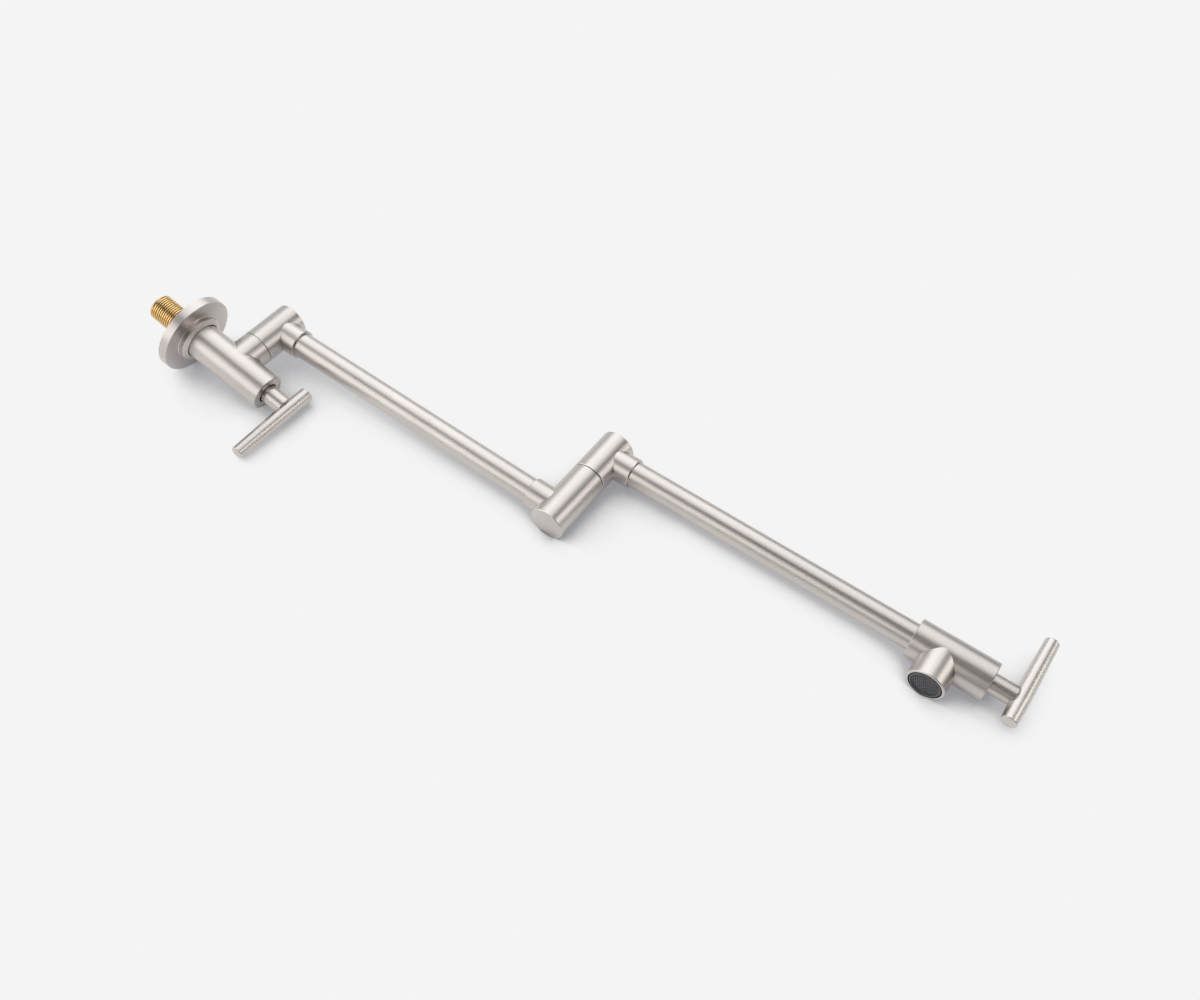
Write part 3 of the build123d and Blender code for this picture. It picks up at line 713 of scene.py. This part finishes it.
@dataclass
class TurnedShading:
    """Gives turned faces their exact normals and the grain's axis.

    A face belongs to a line if it lies on a cylinder, a cone or a flat end about it.
    """

    lines: tuple[Line, ...]
    cylinder_slack: float = 2e-5
    cone_slack: float = 2e-5
    flat_cosine: float = 0.99999
    near_cosine: float = 0.9

    def apply(self, piece: bpy.types.Object) -> None:
        """Shade a piece.

        Args:
            piece: a mesh with its doubles merged.
        """
        mesh = piece.data
        normals = [Vector(corner.vector) for corner in mesh.corner_normals]
        axes = np.zeros((len(mesh.polygons), 3), np.float32)
        origins = np.zeros((len(mesh.polygons), 3), np.float32)
        exact: dict[int, list[Vector]] = {}
        loose = []
        for face in mesh.polygons:
            line, directions = self._match(mesh, face)
            if line is None:
                line = self.lines[0]
                loose.append(face)
            else:
                for corner, direction in zip(face.loop_indices, directions):
                    normals[corner] = direction
                    exact.setdefault(mesh.loops[corner].vertex_index, []).append(direction)
            axes[face.index] = line.direction
            origins[face.index] = line.origin
        for face in loose:
            for corner in face.loop_indices:
                for direction in exact.get(mesh.loops[corner].vertex_index, ()):
                    if direction.dot(face.normal) > self.near_cosine:
                        normals[corner] = direction
        mesh.normals_split_custom_set(normals)
        for name, values in ((GRAIN_AXIS, axes), (GRAIN_ORIGIN, origins)):
            attribute = mesh.attributes.new(name, "FLOAT_VECTOR", "FACE")
            attribute.data.foreach_set("vector", values.ravel())

    def _match(
        self, mesh: bpy.types.Mesh, face: bpy.types.MeshPolygon
    ) -> tuple[Line | None, list[Vector]]:
        """Find the line that a face is turned about.

        Args:
            mesh: the piece's mesh.
            face: one of its faces.

        Returns:
            The line, or None, and the exact normal at each corner.
        """
        normal = face.normal
        flat = None
        for line in self.lines:
            axis = Vector(line.direction)
            steep = normal.dot(axis)
            if abs(steep) > self.flat_cosine:
                flat = line, [axis * math.copysign(1.0, steep)] * face.loop_total
                continue
            offsets = [mesh.vertices[vertex].co - Vector(line.origin) for vertex in face.vertices]
            heights = [offset.dot(axis) for offset in offsets]
            rays = [offset - axis * height for offset, height in zip(offsets, heights)]
            radii = [ray.length for ray in rays]
            outward = sum(rays, Vector()).normalized()
            sign = math.copysign(1.0, normal.dot(outward))
            on_cylinder = max(radii) - min(radii) < self.cylinder_slack
            if on_cylinder and normal.dot(outward) * sign > self.near_cosine:
                return line, [ray.normalized() * sign for ray in rays]
            reach = math.sqrt(1.0 - steep * steep) * sign
            levels = [radius * reach + height * steep for radius, height in zip(radii, heights)]
            directions = [ray.normalized() * reach + axis * steep for ray in rays]
            on_cone = max(levels) - min(levels) < self.cone_slack
            if on_cone and normal.dot(directions[0]) > self.near_cosine:
                return line, directions
        return flat or (None, [])


class Workshop:
    """Makes pieces, dresses them and puts them on their bodies."""

    doubles: float = 0.000002           # as DOUBLES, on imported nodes
    sharp_angle: float = 28.0

    def __init__(self, frame: dict) -> None:
        """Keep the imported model's nodes and bodies.
        """
        self.nodes = frame["nodes"]
        self.wardrobe = Wardrobe()
        groups = frame["record"]["behaviour"]["bodies"]
        self.body_of = {node: body for body, members in groups.items() for node in members}

    def paint(self, node: str, finish: Finish) -> None:
        """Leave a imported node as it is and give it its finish."""
        self.wardrobe.dress(self.nodes[node], finish)
        log.info("%s: %s", node, finish.value)

    def refine(self, node: str, finish: Finish, *lines: Line) -> bpy.types.Object:
        """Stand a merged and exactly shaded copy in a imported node's place.

        Args:
            node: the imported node.
            finish: what it is made of.
            *lines: the axes that its surfaces are turned about.

        Returns:
            The new piece.
        """
        piece = self.copy(node)
        self.shade(piece, *lines)
        self.place(piece, finish, node)
        return piece

    def copy(self, node: str) -> bpy.types.Object:
        """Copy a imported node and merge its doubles.

        Args:
            node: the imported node.

        Returns:
            The copy, with no finish.
        """
        piece = bpy.data.objects.new(node + "_surface", self.nodes[node].data.copy())
        bpy.context.scene.collection.objects.link(piece)
        take(piece)
        bpy.ops.object.mode_set(mode="EDIT")
        bpy.ops.mesh.select_all(action="SELECT")
        bpy.ops.mesh.remove_doubles(threshold=self.doubles)
        bpy.ops.object.mode_set(mode="OBJECT")
        return piece

    def shade(self, piece: bpy.types.Object, *lines: Line) -> None:
        """Smooth a piece and give its turned faces their exact normals.

        Args:
            piece: a merged mesh.
            *lines: the axes that its surfaces are turned about.
        """
        self.smooth(piece)
        TurnedShading(lines).apply(piece)

    def smooth(self, piece: bpy.types.Object) -> None:
        """Smooth a piece but for its sharp edges."""
        take(piece)
        bpy.ops.object.shade_smooth_by_angle(angle=math.radians(self.sharp_angle))

    def join(self, piece: bpy.types.Object, finish: Finish, neighbour: str) -> None:
        """Dress a new piece that stands for no node and put it on its neighbour's body.

        Args:
            piece: the new piece, at its place.
            finish: what it is made of.
            neighbour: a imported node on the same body.
        """
        self.wardrobe.dress(piece, finish)
        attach(piece, self.body_of[neighbour])
        faces = len(piece.data.polygons)
        log.info("%s on %s: %d faces", piece.name, self.body_of[neighbour], faces)

    def place(self, piece: bpy.types.Object, finish: Finish, *nodes: str) -> None:
        """Dress a new piece and put it on the body of the nodes that it replaces.

        Args:
            piece: the new piece, at its place.
            finish: what it is made of.
            *nodes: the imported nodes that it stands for.
        """
        self.join(piece, finish, nodes[0])
        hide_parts(*nodes)


# ---- Sub-assemblies ----
@dataclass
class Inlet:
    """Threaded brass inlet, wall flange and their seals."""

    thread_radius: float = 0.0104775
    thread_pitch: float = 0.001814
    thread_depth: float = 0.001162
    thread_length: float = 0.0328
    root_width: float = 0.12        # of the groove, as a share of the pitch
    crest_width: float = 0.66       # of the groove at the thread's outer radius, as a share
    overshoot: float = 0.00012      # of the cutter outside the thread
    sliver: float = 0.00002         # corners nearer than this are merged after the cut
    steps: int = 48

    def _cutter(self) -> bpy.types.Object:
        """Wind the thread's groove round the inlet's axis as a solid.

        Returns:
            The cutter, which starts before the thread's end and stops at the wall.
        """
        pitch = self.thread_pitch
        root = self.thread_radius - self.thread_depth
        low, crest = (share * pitch / 2 for share in (self.root_width, self.crest_width))
        high = crest + (crest - low) * self.overshoot / self.thread_depth
        outer = self.thread_radius + self.overshoot
        piece = outline("thread_cutter", ((root, -low), (outer, -high), (outer, high), (root, low)))
        turns = int(self.thread_length / pitch) + 1
        screw = piece.modifiers.new("Thread", "SCREW")
        screw.axis = "Z"
        screw.angle = 2 * math.pi
        screw.screw_offset = pitch
        screw.iterations = turns
        screw.steps = screw.render_steps = self.steps
        screw.use_merge_vertices = True
        screw.merge_threshold = DOUBLES
        apply_all(piece)
        bpy.ops.object.mode_set(mode="EDIT")
        bpy.ops.mesh.select_all(action="SELECT")
        bpy.ops.mesh.fill_holes(sides=0)
        bpy.ops.object.mode_set(mode="OBJECT")
        mend(piece)
        back = Matrix.Translation((-(turns + 0.5) * pitch, 0.0, 0.0))
        piece.data.transform(back @ LAYOUT.inlet.frame())
        return piece

    def _nipple(self, shop: Workshop) -> None:
        """Cut the pipe thread into a copy of the plain nipple.

        Args:
            shop: the workshop.
        """
        piece = shop.copy("inlet_nipple")
        cutter = self._cutter()
        cut = piece.modifiers.new("Thread", "BOOLEAN")
        cut.operation = "DIFFERENCE"
        cut.solver = "EXACT"
        cut.object = cutter
        apply_all(piece)
        remove(cutter)
        mend(piece, self.sliver)
        shop.smooth(piece)
        shop.place(piece, Finish.BRASS, "inlet_nipple")

    def build(self, shop: Workshop) -> None:
        """Build and dress the pieces.

        Args:
            shop: the workshop.
        """
        self._nipple(shop)
        shop.refine("wall_flange", Finish.BRUSHED_NICKEL, LAYOUT.inlet)
        for node in ("flange_gasket", "flange_o_ring"):
            shop.paint(node, Finish.RUBBER)


@dataclass
class SubAssembly:
    """Pieces whose names start alike: brushed ones, which are refined, and painted ones."""

    prefix: str
    painted: ClassVar[dict[Finish, tuple[str, ...]]] = {}

    def brushed(self) -> dict[str, tuple[Line, ...]]:
        """Each brushed part, with the axes that it is turned about."""
        raise NotImplementedError

    def build(self, shop: Workshop) -> None:
        """Build and dress the pieces.

        Args:
            shop: the workshop.
        """
        for part, lines in self.brushed().items():
            shop.refine(f"{self.prefix}_{part}", Finish.BRUSHED_NICKEL, *lines)
        for finish, parts in self.painted.items():
            for part in parts:
                shop.paint(f"{self.prefix}_{part}", finish)


@dataclass
class QuarterTurnValve(SubAssembly):
    """Valve body, bonnet ring and cartridge, at the wall or at the spout."""

    line: Line
    crossing: Line
    painted = {
        Finish.BRASS: ("cartridge_shell", "stem"),
        Finish.RUBBER: ("cartridge_o_ring", "seat_seal", "stem_o_rings"),
        Finish.CERAMIC: ("fixed_disc", "turning_disc"),
        Finish.STAINLESS: ("stem_clip",),
    }

    def brushed(self) -> dict[str, tuple[Line, ...]]:
        """The body, which crosses the shoulder or the nozzle, and the bonnet ring."""
        return {"valve_body": (self.line, self.crossing), "bonnet_ring": (self.line,)}


@dataclass
class Handle(SubAssembly):
    """Hub, cross bar and set screw."""

    line: Line
    bar: Line
    painted = {Finish.STAINLESS: ("handle_set_screw",)}

    def brushed(self) -> dict[str, tuple[Line, ...]]:
        """Hub and bar."""
        return {"handle_hub": (self.line,), "handle_bar": (self.bar,)}


@dataclass
class Swivel(SubAssembly):
    """A swivel joint's upper half and what is inside it."""

    line: Line
    arm: Line
    painted = {
        Finish.BLACK_ACETAL: ("thrust_washer",),
        Finish.RUBBER: ("o_rings",),
        Finish.STAINLESS: ("slip_washer",),
        Finish.BRASS: ("spindle", "retaining_nut"),
    }

    def brushed(self) -> dict[str, tuple[Line, ...]]:
        """The body, with its side socket, and the cap."""
        return {"swivel_body": (self.line, self.arm), "cap": (self.line,)}


@dataclass
class SwivelBase(SubAssembly):
    """A swivel joint's lower half, at the end of an arm."""

    line: Line
    arm: Line

    def brushed(self) -> dict[str, tuple[Line, ...]]:
        """The body, with its side socket."""
        return {"lower_body": (self.line, self.arm)}


@dataclass
class Arm(SubAssembly):
    """An arm's tube and its two gaskets."""

    line: Line
    painted = {Finish.RUBBER: ("gaskets",)}

    def brushed(self) -> dict[str, tuple[Line, ...]]:
        """The tube."""
        return {"tube": (self.line,)}


@dataclass
class Aerator:
    """Housing, lip ring, grid, jet plate and washer in the nozzle's mouth."""

    line: Line
    arm_height: float = LAYOUT.second_arm_height
    mouth: float = 0.0287           # housing's rim below the arm's axis
    cell_pitch: float = 0.00160
    cell_weld: float = 0.000016     # corners of cells nearer than this are merged
    spare_cells: int = 5            # in each row, past the rim
    rib: float = 0.00042
    grid_radius: float = 0.01032
    grid_rim: float = 0.0005
    grid_depth: float = 0.0010
    grid_sunk: float = 0.0008
    lip_outer: float = 0.01125
    lip_inner: float = 0.01045
    lip_high: float = 0.0008
    lip_edge: float = 0.00015

    def _lip(self, shop: Workshop) -> None:
        """Thin grey ring that stands in the housing's rim round the grid.

        Args:
            shop: the workshop.
        """
        low = self.arm_height - self.mouth - self.lip_edge
        inner, outer, edge = self.lip_inner, self.lip_outer, self.lip_edge
        ring = turned("aerator_lip_ring", (
            (inner, low + edge),
            (inner + edge, low),
            (outer - edge, low),
            (outer, low + edge),
            (outer, low + self.lip_high),
            (inner, low + self.lip_high),
        ), self.line)
        shop.shade(ring, self.line)
        shop.join(ring, Finish.GREY_PLASTIC, "aerator_housing")

    def _cells(self) -> bpy.types.Object:
        """Six-sided cells side by side, as far as the rim.

        Returns:
            The lattice, flat, about the origin.
        """
        deselect()
        pitch = self.cell_pitch
        count = 2 * int(self.grid_radius / pitch) + self.spare_cells
        steps = ((pitch, 0.0, 0.0), (pitch / 2, pitch * math.sqrt(3.0) / 2, 0.0))
        bpy.ops.mesh.primitive_circle_add(
            vertices=6, radius=pitch / math.sqrt(3.0), fill_type="NGON", location=(0.0, 0.0, 0.0)
        )
        piece = bpy.context.active_object
        piece.name = "aerator_cells"
        bpy.ops.object.mode_set(mode="EDIT")
        bpy.ops.mesh.select_all(action="SELECT")
        bpy.ops.mesh.inset(thickness=self.rib / 2)
        bpy.ops.mesh.delete(type="ONLY_FACE")
        bpy.ops.object.mode_set(mode="OBJECT")
        for step in steps:
            rows = piece.modifiers.new("Cells", "ARRAY")
            rows.use_relative_offset = False
            rows.use_constant_offset = True
            rows.constant_offset_displace = step
            rows.count = count
        apply_all(piece)
        middle = [sum(parts) * (count - 1) / 2 for parts in zip(*steps)]
        piece.data.transform(Matrix.Translation([-part for part in middle]))
        reach = self.grid_radius - self.grid_rim / 2
        for face in piece.data.polygons:
            face.select = face.center.length > reach
        bpy.ops.object.mode_set(mode="EDIT")
        bpy.ops.mesh.delete(type="FACE")
        bpy.ops.mesh.select_all(action="SELECT")
        bpy.ops.mesh.remove_doubles(threshold=self.cell_weld)
        bpy.ops.object.mode_set(mode="OBJECT")
        return piece

    def _grid(self, shop: Workshop) -> None:
        """Fine grid of six-sided cells in a round rim.

        Args:
            shop: the workshop.
        """
        level = self.arm_height - self.mouth + self.grid_sunk
        cells = self._cells()
        depth = cells.modifiers.new("Depth", "SOLIDIFY")
        depth.thickness = self.grid_depth
        depth.offset = 1.0
        apply_all(cells)
        cells.data.transform(Matrix.Translation(self.line.at(level)))
        mend(cells)
        inner, outer = self.grid_radius - self.grid_rim, self.grid_radius
        rim = turned("aerator_grid_rim", (
            (inner, level - self.rib),
            (outer, level - self.rib),
            (outer, level + self.grid_depth),
            (inner, level + self.grid_depth),
        ), self.line)
        take(cells)
        rim.select_set(True)
        bpy.ops.object.join()
        cells.name = "aerator_fine_grid"
        shop.smooth(cells)
        shop.place(cells, Finish.GREY_PLASTIC, "aerator_grid")

    def build(self, shop: Workshop) -> None:
        """Build and dress the pieces.

        Args:
            shop: the workshop.
        """
        shop.refine("aerator_housing", Finish.BLACK_ACETAL, self.line)
        self._lip(shop)
        self._grid(shop)
        # the jet plate is dressed black as painted shade, so that the grid's cells in front of it
        # read dark
        shop.paint("aerator_jet_plate", Finish.BLACK_ACETAL)
        shop.paint("aerator_washer", Finish.RUBBER)


# ---- Studio ----
@dataclass(frozen=True)
class SoftBox:
    """A large soft lamp at a direction from the tap's middle."""

    name: str
    direction: Triple
    side: Triple                    # of its width
    distance: float
    width: float
    height: float
    radiance: float
    colour: Triple

    def build(self, aim: Vector) -> None:
        """Hang the lamp.

        Args:
            aim: the point that it faces.
        """
        lamp = bpy.data.lights.new(self.name, "AREA")
        lamp.shape = "RECTANGLE"
        lamp.size = self.width
        lamp.size_y = self.height
        lamp.energy = self.radiance * math.pi * self.width * self.height
        lamp.color = self.colour
        holder = bpy.data.objects.new(self.name, lamp)
        bpy.context.scene.collection.objects.link(holder)
        back = Vector(self.direction).normalized()
        across = Vector(self.side)
        across = (across - back * across.dot(back)).normalized()
        holder.location = aim + back * self.distance
        holder.rotation_mode = "QUATERNION"
        turn = Matrix((across, back.cross(across), back)).transposed()
        holder.rotation_quaternion = turn.to_quaternion()
        holder.visible_camera = False


@dataclass(frozen=True)
class TableShadow:
    """A soft shadow on the table, from how much of the light near it is hidden."""

    reach: float
    start: float                    # share of the light hidden where the shadow begins
    full: float                     # the same where it is deep
    power: float
    most: float
    lean: Triple                    # where the light comes from
    samples: int = 16

    def tone(self, tree: Tree) -> Socket:
        """Find how deep the shadow is.

        Args:
            tree: the table's tree.

        Returns:
            0 in the light and about 1 where it is deep.
        """
        near = tree.nodes.new("ShaderNodeAmbientOcclusion")
        near.samples = self.samples
        near.inputs["Distance"].default_value = self.reach
        lean = tree.nodes.new("ShaderNodeCombineXYZ")
        for socket, value in zip(lean.inputs, Vector(self.lean).normalized()):
            socket.default_value = value
        tree.join(lean.outputs["Vector"], near.inputs["Normal"])
        hidden = tree.math("SUBTRACT", 1.0 - self.start, near.outputs["AO"])
        hidden = tree.math("DIVIDE", hidden, self.full - self.start)
        hidden = tree.math("POWER", tree.math("MAXIMUM", hidden, 0.0), self.power)
        return tree.math("MINIMUM", hidden, self.most)


@dataclass
class Studio:
    """Camera, lamps, pale surroundings and the table that the tap lies on."""

    camera_place: Triple = (0.444789, -0.789193, -0.350799)
    camera_right: Triple = (0.78073467, -0.22571655, 0.58267093)
    camera_down: Triple = (0.61233937, 0.4621216, -0.64147028)
    lens: float = 34.7172
    sensor_width: float = 36.0
    aim: Triple = (0.31, -0.06, 0.05)
    pale: float = 0.905
    room_level: float = 0.07
    room_rise: float = 0.37         # how much brighter the room is above the camera's middle
    room_turn: float = -0.37        # the same to its right
    room_floor: float = 0.02
    room_tint: Triple = (1.03, 1.075, 1.10)
    room_radius: float = 9.0
    room_facets: tuple[int, int] = (64, 32)
    shade: float = 0.004            # level of the room behind the camera
    shade_range: tuple[float, float] = (0.21, 0.80)
    table_normal: Triple = TABLE_NORMAL
    table_point: Triple = (0.004, 0.0322, 0.0)
    table_size: float = 8.0
    table_glow: Triple = (0.68, 0.69, 0.74)
    shadow_depth: Triple = (0.59, 0.59, 0.575)
    cast_shadow: TableShadow = TableShadow(
        reach=0.065, start=0.28, full=0.69, power=1.8, most=1.15, lean=(-0.804, -0.400, 0.439)
    )
    under_shadow: TableShadow = TableShadow(
        reach=0.07, start=0.27, full=0.66, power=1.3, most=0.85, lean=TABLE_NORMAL
    )
    lamps: tuple[SoftBox, ...] = (
        SoftBox(
            "Key soft box", direction=(-0.439, -0.739, 0.511), side=(0.898, -0.355, 0.258),
            distance=2.76, width=3.09, height=4.0, radiance=1.27, colour=(1.0, 1.02, 1.035),
        ),
        SoftBox(
            "Low soft box", direction=(-0.648, -0.314, -0.694), side=(0.733, -0.504, -0.457),
            distance=1.27, width=2.51, height=0.90, radiance=1.43, colour=(1.045, 1.04, 1.015),
        ),
        SoftBox(
            "Far soft box", direction=(0.566, -0.806, 0.175), side=(0.374, 0.44, 0.816),
            distance=1.68, width=2.59, height=0.63, radiance=1.87, colour=(1.06, 1.043, 1.015),
        ),
    )

    def build(self) -> None:
        """Set up the picture."""
        self._camera()
        self._backdrop()
        self._room()
        self._table()
        for lamp in self.lamps:
            lamp.build(Vector(self.aim))
        bpy.context.scene.view_settings.view_transform = "Standard"

    def _camera(self) -> None:
        """Put the camera at the picture's viewpoint."""
        right, down = Vector(self.camera_right), Vector(self.camera_down)
        back = -right.cross(down)
        data = bpy.data.cameras.new("Camera")
        data.sensor_fit = "HORIZONTAL"
        data.sensor_width = self.sensor_width
        data.lens = self.lens
        camera = bpy.data.objects.new("Camera", data)
        bpy.context.scene.collection.objects.link(camera)
        turn = Matrix((right, -down, back)).transposed()
        camera.rotation_mode = "QUATERNION"
        camera.rotation_quaternion = turn.to_quaternion()
        camera.location = self.camera_place
        bpy.context.scene.camera = camera

    def _backdrop(self) -> None:
        """A pale backdrop, which the metal shows as well as the picture."""
        world = bpy.data.worlds.new("Studio")
        bpy.context.scene.world = world
        tree = Tree.of_world(world)
        plain = tree.nodes.new("ShaderNodeBackground")
        plain.inputs["Color"].default_value = (*self.table_glow, 1.0)
        backdrop = tree.nodes.new("ShaderNodeBackground")
        backdrop.inputs["Color"].default_value = (self.pale, self.pale, self.pale, 1.0)
        tree.join(tree.choose(tree.looked_at(), plain, backdrop), tree.output.inputs["Surface"])

    def _room(self) -> None:
        """The dim room over the table, behind and beside the camera, as a half dome."""
        segments, rings = self.room_facets
        bpy.ops.mesh.primitive_uv_sphere_add(
            segments=segments, ring_count=rings, radius=self.room_radius
        )
        room = bpy.context.active_object
        room.name = "Room"
        room.data.name = "Room"
        bpy.ops.object.mode_set(mode="EDIT")
        bpy.ops.mesh.select_all(action="SELECT")
        bpy.ops.mesh.bisect(
            plane_co=self.table_point, plane_no=self.table_normal, clear_inner=True
        )
        bpy.ops.object.mode_set(mode="OBJECT")
        room.visible_camera = False
        room.visible_shadow = False
        tree = Tree("Dim room")
        tree.nodes.remove(tree.shader)
        place = tree.vector("NORMALIZE", tree.place())
        above = tree.vector("DOT_PRODUCT", place, tuple(-Vector(self.camera_down)))
        beside = tree.vector("DOT_PRODUCT", place, self.camera_right)
        forward = Vector(self.camera_right).cross(Vector(self.camera_down))
        behind = tree.vector("DOT_PRODUCT", place, tuple(-forward))
        level = tree.math("ADD", self.room_level, tree.math(
            "ADD",
            tree.math("MULTIPLY", above, self.room_rise),
            tree.math("MULTIPLY", beside, self.room_turn),
        ))
        level = tree.math("MAXIMUM", level, self.room_floor)
        shaded = tree.ramp(behind, *self.shade_range)
        level = tree.math(
            "ADD",
            tree.math("MULTIPLY", level, tree.math("SUBTRACT", 1.0, shaded)),
            tree.math("MULTIPLY", shaded, self.shade),
        )
        wall = tree.nodes.new("ShaderNodeEmission")
        tree.join(tree.vector("SCALE", self.room_tint, level), wall.inputs["Color"])
        tree.join(wall.outputs["Emission"], tree.output.inputs["Surface"])
        room.data.materials.append(tree.material)

    def _table(self) -> None:
        """The pale table, which keeps the tap's soft shadow and can be seen through from behind."""
        bpy.ops.mesh.primitive_plane_add(size=self.table_size)
        table = bpy.context.active_object
        table.name = "Table"
        turn = Vector(self.table_normal).to_track_quat("Z", "Y").to_matrix().to_4x4()
        table.data.transform(Matrix.Translation(self.table_point) @ turn)
        table.visible_shadow = False
        tree = Tree("Pale table")
        tree.nodes.remove(tree.shader)
        hidden = tree.math("MAXIMUM", self.cast_shadow.tone(tree), self.under_shadow.tone(tree))
        light = tree.vector(
            "SUBTRACT", (1.0, 1.0, 1.0), tree.vector("SCALE", self.shadow_depth, hidden)
        )
        seen = tree.nodes.new("ShaderNodeBsdfTransparent")
        tree.join(light, seen.inputs["Color"])
        glow = tree.nodes.new("ShaderNodeEmission")
        tree.join(tree.vector("MULTIPLY", self.table_glow, light), glow.inputs["Color"])
        front = tree.choose(tree.looked_at(), glow, seen)
        behind = tree.nodes.new("ShaderNodeBsdfTransparent")
        side = tree.nodes.new("ShaderNodeNewGeometry")
        tree.join(
            tree.choose(side.outputs["Backfacing"], front.node, behind),
            tree.output.inputs["Surface"],
        )
        table.data.materials.append(tree.material)


def main() -> None:
    """Build the tap piece by piece, then the studio around it."""
    logging.basicConfig(level=logging.INFO, format="%(name)s: %(message)s")
    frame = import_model()
    shop = Workshop(frame)
    lay = LAYOUT
    parts = (
        Inlet(),
        QuarterTurnValve("inlet", lay.inlet, lay.shoulder),
        Handle("inlet", lay.inlet, lay.wall_bar),
        Swivel("shoulder", lay.shoulder, lay.first_arm),
        Arm("first_arm", lay.first_arm),
        Swivel("elbow", lay.elbow, lay.second_arm),
        Arm("second_arm", lay.second_arm),
        QuarterTurnValve("spout", lay.second_arm, lay.nozzle),
        Handle("spout", lay.second_arm, lay.spout_bar),
        Aerator(lay.nozzle),
        SwivelBase("elbow", lay.elbow, lay.first_arm),
    )
    for part in parts:
        part.build(shop)
    Studio().build()


if __name__ == "__main__":
    main()
